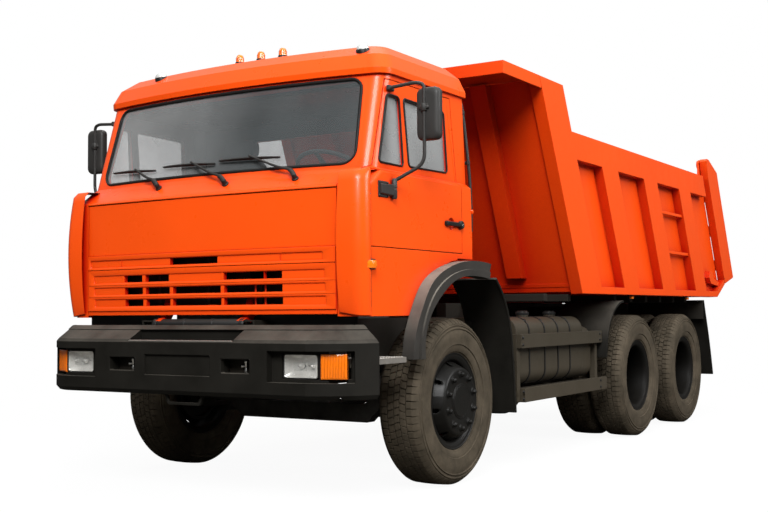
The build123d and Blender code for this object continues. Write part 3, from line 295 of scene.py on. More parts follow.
MAT = {
    # deep on both oranges is painted shade, a darker red mixed in where the surface is closed in.
    "orange": paint("cab_orange", (0.90, 0.082, 0.0035), deep=(0.50, 0.006, 0.001), lining=(0.035, 0.037, 0.038)),
    "body_orange": paint("tipper_orange", (0.90, 0.080, 0.0035), bevel=0.007, rough=0.36, film_share=0.2,
                         deep=(0.40, 0.003, 0.0005), reach=1.7),
    "black": paint("frame_black", (0.014, 0.012, 0.009), rough=0.55, film_share=0.10, coat=0.0, spec=0.2),
    "dusty": paint("dusty_black", (0.040, 0.033, 0.022), rough=0.5, film_share=0.10, coat=0.0, spec=0.25),
    "cast": metal("cast_iron_dusty", (0.030, 0.027, 0.022), 0.75, metallic=0.1),
    "plastic": plastic("moulded_black", (0.0048, 0.0045, 0.0035), film_share=0.36, spec=0.10),
    "flare": plastic("flare_black", (0.013, 0.012, 0.011), film_share=1.0, spec=0.22),
    "rubber": plastic("seal_rubber", (0.008, 0.008, 0.008), film_share=0.1, bevel=0.006, rough=0.5),
    "tyre": tyre_rubber("tyre_dusty"),
    "wheel": paint("wheel_black", (0.0045, 0.0045, 0.004), rough=0.42, film_share=0.02, coat=0.0, spec=0.2),
    # The rear wheels take a darker, duller copy of the front wheels' black: painted shade for wheels under the body.
    "rear_wheel": paint("rear_wheel_black_painted_shade", (0.003, 0.003, 0.0027), rough=0.5, film_share=0.02, coat=0.0, spec=0.12),
    "glass": pane("window_glass", (0.13, 0.145, 0.15), 0.76, painted_sheen=(0.50, 0.51, 0.51)),
    "side_glass": pane("side_glass", (0.42, 0.43, 0.43), 0.55),
    "lamp": lens("lamp_clear", (0.62, 0.64, 0.62)),
    "amber": lens("lamp_amber", (1.0, 0.20, 0.002)),
    "red": lens("lamp_red", (0.5, 0.01, 0.01)),
    "zinc": metal("galvanised", (0.50, 0.47, 0.43), 0.5),
    "cloth": plastic("seat_cloth", (0.05, 0.05, 0.055), film_share=0.2, grain=600, rough=0.9),
    "trim": plastic("cab_trim", (0.04, 0.04, 0.042), film_share=0.1, rough=0.7),
    "satin_black": plastic("satin_black", (0.007, 0.007, 0.007), film_share=0.12, grain=500, rough=0.42, spec=0.3),
    "mirror_black": plastic("mirror_black", (0.022, 0.021, 0.020), film_share=0.2, grain=1100, rough=0.5, spec=0.3),
    # The reflector's pale diffuse share is painted reflection, standing in for the bright bowl; its silver tone is its
    # own.
    "reflector": metal("lamp_reflector", (0.92, 0.90, 0.86), 0.22, metallic=0.45),
    "chrome": metal("bright_metal", (0.80, 0.79, 0.76), 0.16),
    "mirror": metal("mirror_silver", (0.86, 0.88, 0.89), 0.03, bevel=0.0),
    "lamp_glass": fluted_glass("lamp_glass", (0.55, 0.56, 0.55)),
    # seam is painted shade: a dark red strip laid in the side gap.
    "seam": plastic("seam_painted_shade", (0.05, 0.012, 0.004), film_share=0.1, bevel=0.0),
}

# Material of each node, by the start of its name
NODE_MATERIAL = {
    "dusty": ["fuel_tank", "side_guards"],
    "orange": ["cab_shell", "front_panel", "grille_panel", "door_left", "door_right"],
    "body_orange": ["dump_body", "tailgate"],
    "black": ["frame_rails", "cross_members", "subframe", "propshafts", "air_tanks", "tow_gear", "hoist_bed",
              "hoist_barrel", "hoist_sleeve", "wipers"],
    "cast": ["front_axle", "rear_axles", "leaf_springs", "engine", "knuckle_", "tie_rod"],
    "plastic": ["bumper", "mirror_", "front_mudguards", "bogie_mudguards"],
    "flare": ["cab_flares"],
    "rubber": ["screen_seal"],
    "glass": ["cab_glass"],
    "side_glass": ["door_glass_"],
    "lamp": ["headlamps"],
    "amber": ["indicators", "roof_lamps"],
    "red": ["tail_lamps"],
    "zinc": ["steps", "hoist_ram"],
    "cloth": ["seats"],
    "trim": ["dashboard", "steering_wheel"],
    "tyre": ["front_tyre_", "first_rear_tyres_", "second_rear_tyres_"],
    "wheel": ["front_wheel_"],
    "rear_wheel": ["first_rear_wheel_", "second_rear_wheel_"],
}
for key, starts in NODE_MATERIAL.items():
    for name, obj in NODES.items():
        if name.startswith(tuple(starts)):
            obj.data.materials.clear()
            obj.data.materials.append(MAT[key])


# ------------------------------------------------------------------ mesh helpers

class Build:
    """Collects vertices and faces of one piece."""

    def __init__(self):
        self.verts = []
        self.faces = []

    def add(self, verts, faces, matrix=None):
        start = len(self.verts)
        self.verts += [tuple(matrix @ Vector(v)) if matrix is not None else tuple(v) for v in verts]
        self.faces += [tuple(i + start for i in f) for f in faces]

    def rings(self, rings, closed=True, ends=True, matrix=None):
        """Joins rings of points by quads, with caps at both ends."""
        count = len(rings[0])
        faces = []
        for i in range(len(rings) - 1):
            for j in range(count if closed else count - 1):
                k = (j + 1) % count
                faces.append((i * count + j, i * count + k, (i + 1) * count + k, (i + 1) * count + j))
        if ends:
            faces.append(tuple(range(count - 1, -1, -1)))
            faces.append(tuple((len(rings) - 1) * count + j for j in range(count)))
        self.add([p for ring in rings for p in ring], faces, matrix)

    def lathe(self, profile, steps, matrix=None, closed=False):
        """Turns a profile of (x, r) round the X axis."""
        count = len(profile)
        verts = [(x, *polar(r, TURN * i / steps)) for i in range(steps) for x, r in profile]
        faces = []
        for i in range(steps):
            n = (i + 1) % steps
            for j in range(count if closed else count - 1):
                k = (j + 1) % count
                faces.append((i * count + j, i * count + k, n * count + k, n * count + j))
        self.add(verts, faces, matrix)

    def block(self, x0, x1, y0, y1, z0, z1, bevel=0.0):
        """A box with chamfered edges, between faces in mm from the front axle; x0 and x1 in either order."""
        (xa, ya, za), (xb, yb, zb), b = P(min(x0, x1), y0, z0), P(max(x0, x1), y1, z1), bevel
        rings = []
        for z, inset in ((za, b), (za + b, 0), (zb - b, 0), (zb, b)):
            x, X, y, Y = xa + inset, xb - inset, ya + inset, yb - inset
            rings.append([(x + b, y, z), (X - b, y, z), (X, y + b, z), (X, Y - b, z),
                          (X - b, Y, z), (x + b, Y, z), (x, Y - b, z), (x, y + b, z)])
        self.rings(rings)

    def piece(self, name, mat, body, slot=None, smooth=None, stands_for=None):
        """One mesh that rides on a body and may stand for a node. Edges under smooth degrees are shaded smooth."""
        mesh = bpy.data.meshes.new(name)
        mesh.from_pydata(self.verts, [], self.faces)
        mesh.validate()
        bm = bmesh.new()
        bm.from_mesh(mesh)
        bmesh.ops.recalc_face_normals(bm, faces=bm.faces)
        bm.to_mesh(mesh)
        bm.free()
        obj = link_object(name, mesh)
        mesh.materials.append(MAT[mat])
        if smooth is not None:
            mesh.polygons.foreach_set("use_smooth", [True] * len(mesh.polygons))
            mesh.set_sharp_from_angle(angle=math.radians(smooth))
        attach(obj, body)
        if stands_for:
            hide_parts(stands_for)
        return obj


def polar(r, angle):
    return r * math.cos(angle), r * math.sin(angle)


def spin(x, r, angle):
    """The matrix's place at a radius and angle about its X axis."""
    return Matrix.Translation((x, *polar(r, angle)))


def turned(origin, axis):
    """Matrix that takes +X to axis at origin, in metres."""
    quat = Vector((1, 0, 0)).rotation_difference(Vector(axis).normalized())
    return Matrix.Translation(origin) @ quat.to_matrix().to_4x4()


def between(a, b, t):
    return tuple(p + (q - p) * t for p, q in zip(a, b))


def span(a, b, steps):
    """Even steps from a to b, with both ends."""
    return [a + (b - a) * k / steps for k in range(steps + 1)]


def piecewise(table, t):
    """Value at t of a line through (t, value) points."""
    for (t0, v0), (t1, v1) in zip(table, table[1:]):
        if t <= t1:
            return v0 + (v1 - v0) * (max(t, t0) - t0) / (t1 - t0)
    return table[-1][1]


def outward(line, k):
    """Unit normal of a line of (x, y) points, on the right of its run."""
    before, after = Vector(line[max(0, k - 1)]), Vector(line[min(len(line) - 1, k + 1)])
    run = (after - before).normalized()
    return Vector((run.y, -run.x))


def tube_path(points, steps=6):
    """Catmull-Rom samples through points."""
    pts = [Vector(p) for p in points]
    pts = [pts[0] * 2 - pts[1]] + pts + [pts[-1] * 2 - pts[-2]]
    out = []
    for i in range(1, len(pts) - 2):
        p0, p1, p2, p3 = pts[i - 1:i + 3]
        for t in span(0, 1, steps)[:-1]:
            out.append(0.5 * ((2 * p1) + (p2 - p0) * t + (2 * p0 - 5 * p1 + 4 * p2 - p3) * t * t
                              + (3 * p1 - p0 - 3 * p2 + p3) * t ** 3))
    return out + [pts[-2]]


def corner_path(points, radius, steps=5):
    """Straight runs whose corners are rounded by arcs."""
    pts = [Vector(p) for p in points]
    out = [pts[0]]
    for a, b, c in zip(pts, pts[1:], pts[2:]):
        u, v = (a - b), (c - b)
        r = min(radius, u.length * 0.48, v.length * 0.48)
        start, end = b + u.normalized() * r, b + v.normalized() * r
        out += [(1 - t) ** 2 * start + 2 * t * (1 - t) * b + t * t * end for t in span(0, 1, steps)]
    return out + [pts[-1]]


def tube(build, path, radius, sides=12, flat=1.0):
    """A round bar along a path, in metres. flat squeezes it along its second axis."""
    path = [Vector(p) for p in path]
    side = (path[1] - path[0]).normalized().orthogonal().normalized()
    rings = []
    for i, p in enumerate(path):
        new = (path[min(i + 1, len(path) - 1)] - path[max(i - 1, 0)]).normalized()
        side = (side - new * side.dot(new)).normalized()
        up = new.cross(side)
        r = radius[i] if isinstance(radius, list) else radius
        rings.append([p + side * u + up * v * flat for u, v in [polar(r, TURN * k / sides) for k in range(sides)]])
    build.rings(rings)


def hexagon(build, sections, matrix):
    build.rings([[(x, *polar(r, math.pi / 3 * k)) for k in range(6)] for x, r in sections], matrix=matrix)


def bolt(build, origin, axis, across=0.010, tall=0.006):
    """A hexagon head on a washer."""
    m = turned(origin, axis)
    build.lathe([(-0.001, 0.0), (-0.001, across * 1.15), (0.0014, across * 1.15), (0.0014, 0.0)], 16, m)
    hexagon(build, ((0.001, across), (0.001 + tall * 0.8, across), (0.001 + tall, across * 0.86)), m)


def dome(build, origin, axis, radius, tall):
    """A rivet's or screw's rounded head."""
    arc = [(tall * math.sin(t), radius * math.cos(t)) for t in span(0, math.pi / 2, 5)]
    build.lathe([(-0.001, radius)] + arc, 18, turned(origin, axis))


def round_rect(w, h, r, steps=5):
    """Corner-rounded rectangle about the origin as (u, v) points."""
    out = []
    for u, v, start in ((1, 1, 0), (-1, 1, 90), (-1, -1, 180), (1, -1, 270)):
        for a in span(start, start + 90, steps):
            du, dv = polar(r, math.radians(a))
            out.append((u * (w / 2 - r) + du, v * (h / 2 - r) + dv))
    return out


def rect_loop(cx, cz, w, h, r, y, steps=5):
    return [P(cx + u, y, cz + v) for u, v in round_rect(w, h, r, steps)]


def rect_loops(cx, cz, sizes, steps=5):
    """One loop for each (w, h, r, y)."""
    return [rect_loop(cx, cz, *size, steps) for size in sizes]


# ------------------------------------------------------------------ tyres and wheels

TREAD_PITCHES = 72
TREAD_DEPTH = 0.013
TREAD_CHAMFER = 0.0022
# x of the block's inner and outer edge at the tread, in metres, and its shift in pitches
TREAD_ROWS = [(-0.104, -0.066, 0.0), (-0.061, -0.022, 0.45), (-0.017, 0.017, 0.1), (0.022, 0.061, 0.55),
              (0.066, 0.104, 0.2)]
TYRE_R = 0.520
# Half of a tyre's outside from bead to shoulder, (x, r) in metres
SIDEWALL = [(0.104, 0.284), (0.110, 0.300), (0.116, 0.309), (0.122, 0.311), (0.126, 0.319), (0.1335, 0.336),
            (0.1345, 0.349), (0.1345, 0.352), (0.1412, 0.356), (0.1412, 0.372), (0.1445, 0.396), (0.1450, 0.414),
            (0.1445, 0.432), (0.1400, 0.446), (0.1400, 0.449), (0.1450, 0.452), (0.1446, 0.457), (0.1385, 0.460),
            (0.1375, 0.468), (0.1420, 0.472), (0.1410, 0.478), (0.1350, 0.481), (0.1330, 0.488), (0.1270, 0.494),
            (0.1190, 0.4985), (0.108, 0.502)]
FRONT_X, TWIN_X, TWIN_HALF = 1030, 946, 0.160
REAR_AXLES = ((3190, "first"), (4510, "second"))


def crown(x):
    return TYRE_R - 0.0042 * (x / 0.108) ** 2


def tyre_mesh(build, centre_x):
    """Carcass, side rings and tread blocks of one tyre about the X axis."""
    right = SIDEWALL + [(x, crown(x) - TREAD_DEPTH) for x in (0.09, 0.06, 0.03, 0.0)]
    left = [(-x, r) for x, r in reversed(right[:-1])]
    profile = right + left + [(-0.09, 0.29), (0.09, 0.29)]
    build.lathe([(centre_x + x, r) for x, r in profile], 120, closed=True)
    step = TURN / TREAD_PITCHES
    for x0, x1, shift in TREAD_ROWS:
        outer_side = max(abs(x0), abs(x1)) > 0.1
        half = step * (0.435 if outer_side else 0.445)
        skew = 0.0 if outer_side else math.copysign(0.10 * step, x0 + x1 if x0 + x1 > 0 else -1)
        for i in range(TREAD_PITCHES):
            mid = (i + shift) * step
            rings = []
            for drop, inset in ((TREAD_DEPTH + 0.004, -0.0012), (TREAD_CHAMFER, 0.0), (0.0, TREAD_CHAMFER)):
                ring = []
                for x, sx, sa in ((x0, 1, -1), (x1, -1, -1), (x1, -1, 1), (x0, 1, 1)):
                    xx = x + sx * inset
                    a = mid + sa * (half - inset / TYRE_R) - sx * skew
                    ring.append((centre_x + xx, *polar(crown(xx) - drop, a)))
                rings.append(ring)
            build.rings(rings)
            if outer_side:
                s = 1 if x0 > 0 else -1
                edge = s * 0.104
                build.rings([[(centre_x + edge + s * dx, *polar(r, mid + a)) for dx, r in
                              ((-0.012, crown(edge) - 0.0030), (0, crown(edge) - 0.0012), (0.016, 0.5035),
                               (0.0285, 0.4915), (0.0335, 0.4830), (0.018, 0.4830), (-0.012, 0.497))]
                             for a in (-half, half)])


def wheel_place(x, y):
    return Matrix.Translation(P(x, y, TYRE_R * 1000))


def tyre_piece(name, body, stands_for, place, offsets):
    b, one = Build(), Build()
    for offset in offsets:
        tyre_mesh(one, offset)
    b.add(one.verts, one.faces, place)
    b.piece(name, "tyre", body, "tyre", 32, stands_for)


def build_tyres():
    for side, s in SIDES:
        place = wheel_place(s * FRONT_X, 0) @ Matrix.Rotation(0.4 if s > 0 else 1.7, 4, "X")
        tyre_piece(f"tyre_tread_front_{side}", f"{side}_front_wheel", f"front_tyre_{side}", place, (0,))
        for y, word in REAR_AXLES:
            place = wheel_place(s * TWIN_X, y) @ Matrix.Rotation(0.9 + y * 0.001 * s, 4, "X")
            tyre_piece(f"tyre_tread_{word}_{side}", f"{side}_{word}_rear_wheels", f"{word}_rear_tyres_{side}", place,
                       (s * TWIN_HALF, -s * TWIN_HALF))


# Dish of a disc wheel: (radius, x of the outer face from the tyre's middle)
DISH = [(0.204, 0.1560), (0.2095, 0.1520), (0.2155, 0.1440), (0.2230, 0.1290), (0.2330, 0.1060), (0.2420, 0.0880),
        (0.2520, 0.0680)]
# Lip of the rim, (x, r), from its seat outwards
RIM_LIP = [(0.1035, 0.270), (0.1035, 0.292), (0.1060, 0.3005), (0.1105, 0.3035), (0.1140, 0.3015), (0.1145, 0.2975),
           (0.1100, 0.2930), (0.1085, 0.2840), (0.1040, 0.2660), (0.0940, 0.2560), (0.0700, 0.2505)]


def disc_ring(build, r0, r1, wall, holes, ring, hole_r, first=0.0):
    """The dished ring about X pierced by round holes."""
    wide = TURN / holes
    for number in range(holes):
        mid = first + number * wide
        outline = [(r0, a) for a in span(mid - wide / 2, mid + wide / 2, 10)[:-1]]
        outline += [(r, mid + wide / 2) for r in span(r0, r1, 5)[:-1]]
        outline += [(r1, a) for a in span(mid + wide / 2, mid - wide / 2, 10)[:-1]]
        outline += [(r, mid - wide / 2) for r in span(r1, r0, 5)[:-1]]
        rings = []
        for share in (0.0, 0.5, 0.88, 1.0):
            row = []
            for r, a in outline:
                u, v = r * math.cos(a - mid) - ring, r * math.sin(a - mid)
                q = hole_r / math.hypot(u, v)
                u, v = u + (q * u - u) * share + ring, v + (q * v - v) * share
                r = math.hypot(u, v)
                drop = 0.0015 if share == 1.0 else 0.0
                row.append((piecewise(DISH, r) - drop, *polar(r, math.atan2(v, u) + mid)))
            rings.append(row)
        build.rings(rings + [[(x - wall, y, z) for x, y, z in rings[-1]]], ends=False)


def wheel_disc(build, matrix, cap_r, cap_x, turn, cap=True):
    """A rim with its pierced disc, nut face and cap, outer side along +X of the matrix."""
    part = Build()
    rim = [(-0.1035, 0.270), (-0.060, 0.2615), (0.060, 0.2615)] + RIM_LIP + [(-x, r) for x, r in reversed(RIM_LIP)]
    part.lathe(rim, 96, closed=True)
    disc_ring(part, 0.2125, 0.2510, 0.013, 8, 0.2330, 0.0150, turn)
    part.lathe([(0.1470, 0.2125), (0.1520, 0.2095), (0.1565, 0.2035), (0.1585, 0.1970), (0.1600, 0.1880),
                (0.1600, 0.1250), (0.1588, 0.1200), (0.1588, cap_r + 0.002)], 96)
    part.lathe([(0.1340, 0.2125), (0.1400, 0.2020), (0.1460, 0.1940), (0.1460, 0.060)], 72)
    if cap:
        part.lathe([(0.1560, cap_r + 0.003), (0.1610, cap_r + 0.002), (0.1630, cap_r), (0.1630, cap_r - 0.004),
                    (0.1612, cap_r - 0.006), (cap_x, cap_r - 0.010), (cap_x + 0.0006, 0.004),
                    (cap_x - 0.002, 0.0025), (cap_x - 0.002, 0.0)], 72)
    build.add(part.verts, part.faces, matrix)


def wheel_nuts(build, matrix, turn):
    """Ten nuts in shallow rings round the bolt face."""
    for k in range(10):
        m = matrix @ spin(0.1600, 0.1675, turn + TURN * k / 10)
        build.lathe([(0.0, 0.0255), (0.0022, 0.0250), (0.0022, 0.0215), (0.0045, 0.0205), (0.0045, 0.0)], 22, m)
        hexagon(build, ((0.0045, 0.0168), (0.0185, 0.0168), (0.0215, 0.0148)),
                m @ Matrix.Rotation(k * 0.37, 4, "X"))
        build.lathe([(0.0205, 0.0), (0.0205, 0.0118), (0.0240, 0.0112), (0.0268, 0.0085), (0.0280, 0.0)], 18, m)


def drum(build, x0, x1, hub_x, matrix, r=0.206):
    """Brake drum with cooling ribs, its hub's back and the hub barrel from its face out to hub_x[1]."""
    profile = [(x0, r - 0.020), (x0, r - 0.003), (x0 + 0.004, r)]
    pitch = (x1 - x0 - 0.05) / 5
    for k in range(5):
        a = x0 + 0.02 + pitch * k
        profile += [(a, r), (a + 0.004, r + 0.004), (a + pitch * 0.4, r + 0.004), (a + pitch * 0.4 + 0.004, r)]
    build.lathe(profile + [(x1 - 0.012, r), (x1, r - 0.012), (x1, 0.115)], 60, matrix)
    build.lathe([(x0 + 0.012, 0.046), (x0 + 0.012, 0.100), (x0 + 0.03, 0.112), (x0 + 0.03, r - 0.024), (x0, r - 0.020)],
                48, matrix)
    h0, h1 = hub_x
    build.lathe([(h0, 0.046), (h0, 0.112), (h0 + 0.012, 0.117), (h1, 0.117), (h1, 0.058)], 48, matrix)


def build_wheels():
    flip = Matrix.Scale(-1, 4, (1, 0, 0))
    for side, s in SIDES:
        facing = Matrix.Identity(4) if s > 0 else flip
        place = wheel_place(s * FRONT_X, 0) @ facing
        b = Build()
        wheel_disc(b, place, 0.106, 0.1655, 0.2)
        wheel_nuts(b, place, 0.31)
        drum(b, -0.078, 0.088, (0.085, 0.148), place)
        b.piece(f"wheel_front_{side}", "wheel", f"{side}_front_wheel", "black_paint", 35, f"front_wheel_{side}")
        for y, word in REAR_AXLES:
            b = Build()
            wheel_disc(b, wheel_place(s * 1105, y) @ facing @ flip, 0.062, 0.158, 0.5, cap=False)
            wheel_disc(b, wheel_place(s * 785, y) @ facing, 0.062, 0.158, 0.5, cap=False)
            centre = wheel_place(s * 945, y) @ facing
            wheel_nuts(b, centre @ Matrix.Translation((-0.1455, 0, 0)), 0.1)
            b.lathe([(0.010, 0.0600), (0.010, 0.1170), (0.060, 0.1150), (0.070, 0.1080), (0.090, 0.1080),
                     (0.094, 0.1040), (0.108, 0.1010), (0.116, 0.0900), (0.116, 0.040), (0.113, 0.036), (0.113, 0.0)],
                    60, centre)
            for k in range(8):
                bolt(b, (centre @ spin(0.092, 0.098, TURN * k / 8)).translation, (s, 0, 0), 0.008, 0.006)
            drum(b, -0.255, -0.065, (-0.068, -0.010), centre)
            b.piece(f"wheels_{word}_{side}", "rear_wheel", f"{side}_{word}_rear_wheels", "black_paint", 35,
                    f"{word}_rear_wheel_{side}")


# ------------------------------------------------------------------ cab front

# One row per level: height, front at the middle, bow, half width, corner
CAB_ROWS = [(1058, -1092, 42, 1150, 100), (1795, -1092, 42, 1150, 100), (1880, -1016, 84, 1148, 100),
            (1908, -997, 92, 1112, 90), (2476, -842, 96, 1100, 100)]
SIDE_TOP = 1795           # where the cab's upright lower face ends


def cab_front(x, z):
    """y of the cab's front face, mm."""
    z = min(max(z, CAB_ROWS[0][0]), CAB_ROWS[-1][0])
    for low, high in zip(CAB_ROWS, CAB_ROWS[1:]):
        if low[0] <= z <= high[0]:
            front, bow, half, corner = between(low[1:], high[1:], (z - low[0]) / (high[0] - low[0]))
            break
    reach = half - corner
    if abs(x) <= reach:
        radius = (reach ** 2 + bow ** 2) / (2 * bow)
        return front + radius - math.sqrt(radius ** 2 - x ** 2)
    q = min(abs(x) - reach, corner)
    return front + bow + corner - math.sqrt(max(0, corner ** 2 - q ** 2))


def cab_side(z):
    """Half width of the cab at a height, mm."""
    return piecewise([(row[0], row[3]) for row in CAB_ROWS], z)


def front_normal(x, z):
    """Outward normal of the cab's front face, in the row frame."""
    dx = (cab_front(x + 5, z) - cab_front(x - 5, z)) / 10
    dz = (cab_front(x, z + 5) - cab_front(x, z - 5)) / 10
    return Vector((dx, -1, dz)).normalized()


def on_front(x, z, lift=0.0):
    """A point lift mm off the cab's front face, in metres."""
    return P(x, cab_front(x, z), z) + front_normal(x, z) * lift / 1000


# pivot, knee, middle of the blade, the blade's two ends: (x, z) on the cab's front
WIPERS = [((-400, 1868), (-450, 1905), (-655, 2006), (-905, 2008), (-480, 1990)),
          ((160, 1855), (112, 1888), (-150, 2010), (-408, 2006), (28, 1994)),
          ((661, 1855), (615, 1890), (300, 2014), (62, 2008), (508, 1998))]


def build_wipers():
    b = Build()
    for pivot, knee, mid, end0, end1 in WIPERS:
        b.lathe([(0.0, 0.0), (0.0, 0.021), (0.006, 0.021), (0.009, 0.016), (0.030, 0.015), (0.036, 0.011),
                 (0.037, 0.0)], 20, turned(on_front(*pivot, 0.5), front_normal(*pivot)))
        root, bend = on_front(*pivot, 28), on_front(*knee, 38)
        line = tube_path([root, bend, on_front(*between(knee, mid, 1 / 3), 40), on_front(*mid, 34)], 6)
        tube(b, line, span(0.0125, 0.007, len(line) - 1), 10, 0.55)
        tube(b, tube_path([root, on_front(*between(pivot, knee, 0.45), 34), bend], 4), 0.0155, 10, 0.75)

        def blade(t0, t1, steps, low, swell, radius, flat):
            tube(b, [on_front(*between(end0, end1, t), low + swell * math.sin(math.pi * k / steps))
                     for k, t in enumerate(span(t0, t1, steps))], radius, 8, flat)

        blade(0, 1, 12, 7, 0, 0.0042, 1.6)
        blade(0, 1, 12, 12, 16, 0.0062, 0.7)
        for t in (0.22, 0.78):
            blade(t - 0.13, t + 0.13, 6, 9, 9, 0.0052, 0.7)
    b.piece("wiper_set", "satin_black", "cab", "black_paint", 40, "wipers")


def screen_outline(inset, radius, steps=7, runs=14):
    """Corner-rounded windscreen outline, as (x, z) points counter-clockwise from the lower right."""
    corners = [Vector((x - math.copysign(inset, x), z)) for x, z in
               ((1010, 1925 + inset), (975, 2462 - inset), (-975, 2462 - inset), (-1010, 1925 + inset))]
    full, arcs = [], []
    for k, here in enumerate(corners):
        a, b = (corners[k - 1] - here).normalized(), (corners[(k + 1) % 4] - here).normalized()
        half = a.angle(b) / 2
        centre = here + (a + b).normalized() * radius / math.sin(half)
        start, end = [here + v * radius / math.tan(half) - centre for v in (a, b)]
        turn = start.angle(end)
        arcs.append([centre + (start * math.sin((1 - w) * turn) + end * math.sin(w * turn)) / math.sin(turn)
                     for w in span(0, 1, steps)])
    for arc, after in zip(arcs, arcs[1:] + arcs[:1]):
        full += [tuple(p) for p in arc] + [between(arc[-1], after[0], w) for w in span(0, 1, runs)[1:-1]]
    return full


def build_screen():
    """Windscreen and rear pane, and the rubber round the windscreen."""
    seal = Build()
    rows = [(1.0, 89, -12), (0.6, 89, 3), (3.0, 86, 6.5), (8.0, 78, 8), (13.0, 68, 7), (17.0, 60, 4), (19.5, 56, -4),
            (20.5, 55, -14), (1.0, 89, -12)]
    seal.rings([[on_front(x, z, lift) for x, z in screen_outline(inset, radius)] for inset, radius, lift in rows],
               ends=False)
    seal.piece("windscreen_rubber", "rubber", "cab", "rubber", 35, "screen_seal")
    glass = Build()
    edge = screen_outline(19, 56)
    rings = []
    for z in sorted({round(z, 2) for _, z in edge}):
        reach = 0.0
        for (xa, za), (xb, zb) in zip(edge, edge[1:] + edge[:1]):
            if min(za, zb) - 0.01 <= z <= max(za, zb) + 0.01:
                w = 0.5 if abs(zb - za) < 0.02 else (z - za) / (zb - za)
                reach = max(reach, abs(xa + (xb - xa) * w), abs(xa) if abs(za - z) < 0.02 else 0,
                            abs(xb) if abs(zb - z) < 0.02 else 0)
        rings.append([on_front(x, z, -6) for x in span(-reach, reach, 28)]
                     + [on_front(x, z, -11) for x in span(reach, -reach, 28)])
    glass.rings(rings)
    glass.rings(rect_loops(0, 2105, ((1228, 438, 40, 209), (1238, 448, 40, 210.5), (1238, 448, 40, 213.5),
                                     (1228, 438, 40, 215))))
    glass.piece("cab_panes", "glass", "cab", "glass", 30, "cab_glass")


# Pressed rows of the grille: left end, right end, bottom and top of the row, bottom and top of its cell, lift
GRILLE_ROWS = [(-958, 892, 1374, 1427, 1363, 1452, 8.5), (-925, 906, 1272, 1328, 1262, 1360, 6.5),
               (-919, 909, 1197, 1251, 1187, 1261, 6.5), (-912, 914, 1121, 1177, 1099, 1186, 6.5)]
GRILLE_HALF, GRILLE_R = 974, 11
RUN, ARC = 44, 5          # steps along a row and round its corner


def row_loop(x0, x1, z0, z1, inset):
    """Corner-rounded outline of a grille row from its lower left."""
    x0, x1, z0, z1, q = x0 + inset, x1 - inset, z0 + inset, z1 - inset, max(2.0, GRILLE_R - inset)
    a0, a1, b0, b1 = x0 + q, x1 - q, z0 + q, z1 - q

    def bend(cx, cz, start, last=ARC):
        return [(cx + u, cz + v) for u, v in
                [polar(q, math.radians(start + 90 * k / ARC)) for k in range(1, last + 1)]]

    return ([(x, z0) for x in span(a0, a1, RUN)] + bend(a1, b0, -90) + [(x1, b1)] + bend(a1, b1, 0)
            + [(x, z1) for x in span(a1, a0, RUN)[1:]] + bend(a0, b1, 90) + [(x0, b0)] + bend(a0, b0, 180, ARC - 1))


def build_grille():
    """Pressed face of the grille: raised bands round four sunk rows, with their small dividers."""
    for number, (x0, x1, z0, z1, low, high, lift) in enumerate(GRILLE_ROWS):
        b = Build()
        hole, shallow, deep = [row_loop(x0, x1, z0, z1, inset) for inset in (0, 1.5, 6)]
        rim = []
        for k, (x, z) in enumerate(hole):
            level = low + (z - z0) * 0.5 if z < (z0 + z1) / 2 else high - (z1 - z) * 0.5
            if z <= z0 + 0.01 or z >= z1 - 0.01:
                out = GRILLE_HALF * (2 * (x - hole[0][0]) / (hole[RUN][0] - hole[0][0]) - 1)
            else:
                out = GRILLE_HALF if k < RUN + 2 + ARC * 2 else -GRILLE_HALF
            rim.append((out, level))
        drawn = [(x * 0.9985, low + (z - low) * 0.985 + 0.5) for x, z in rim]
        rows = [(rim, -1), (rim, lift - 1), (drawn, lift), (hole, lift), (shallow, lift - 0.8), (deep, 0.5),
                (deep, -1), (rim, -1)]
        b.rings([[on_front(x, z, h) for x, z in pts] for pts, h in rows], ends=False)
        if number == 0:
            for x in (-663, 601):
                b.rings([[on_front(x + dx, z, h) for dx, h in ((-4, 0), (-2, 5), (2, 5), (4, 0))]
                         for z in (z0 + 2, z1 - 2)])
        b.piece(f"grille_press_{number + 1}", "orange", "nose", "orange_paint", 30)
    shade, bars, lip, flap = Build(), Build(), Build(), Build()
    # grille_shade is a dark plate laid on the grille where it shows a dark opening: painted shade.
    shade.rings([[on_front(x, z, 0.9) for x, z in ((x0, 1280), (x0, 1325), (x0, 1325), (x0, 1280))]
                 for x0 in (388, 420, 452, 484)])
    shade.piece("grille_shade", "satin_black", "nose", "black_plastic")
    for x in (398, 470):
        for z0, z1 in ((1124, 1176), (1198, 1250), (1274, 1327)):
            y = cab_front(x, z0) + 34
            bars.block(x - 6, x + 6, y, y + 4, z0, z1, 0.001)
    bars.piece("grille_bars", "orange", "nose", "orange_paint")
    section = ((1786.5, -2), (1786.5, 5.5), (1791, 7), (1797, 5), (1806, 0.2), (1806, -2))
    lip.rings([[on_front(x, z, h) for z, h in section] for x in span(-980, 980, 40)])
    lip.piece("cowl_lip", "orange", "cab", "orange_paint", 30)
    for x0, x1 in ((-1040, -356), (-296, 296), (356, 1040)):
        flap.block(x0, x1, -967, -961, 972, 1130, 0.002)
    for x in (-1040, -700, 700, 1040):
        flap.block(x - 12, x + 12, -961, -952, 975, 1130, 0.002)
    flap.piece("nose_flap", "satin_black", "cab", "black_plastic")


# The bumper's end at its front edge and at its top: start, middle and end of the bend, end of the side, (x, y)
BUMPER_LEVELS = (930, 1010)
BUMPER_ENDS = (((930, -1280), (1072, -1216), (1180, -1098), (1222, -1025)),
               ((900, -1140), (1040, -1105), (1120, -1050), (1136, -1025)))


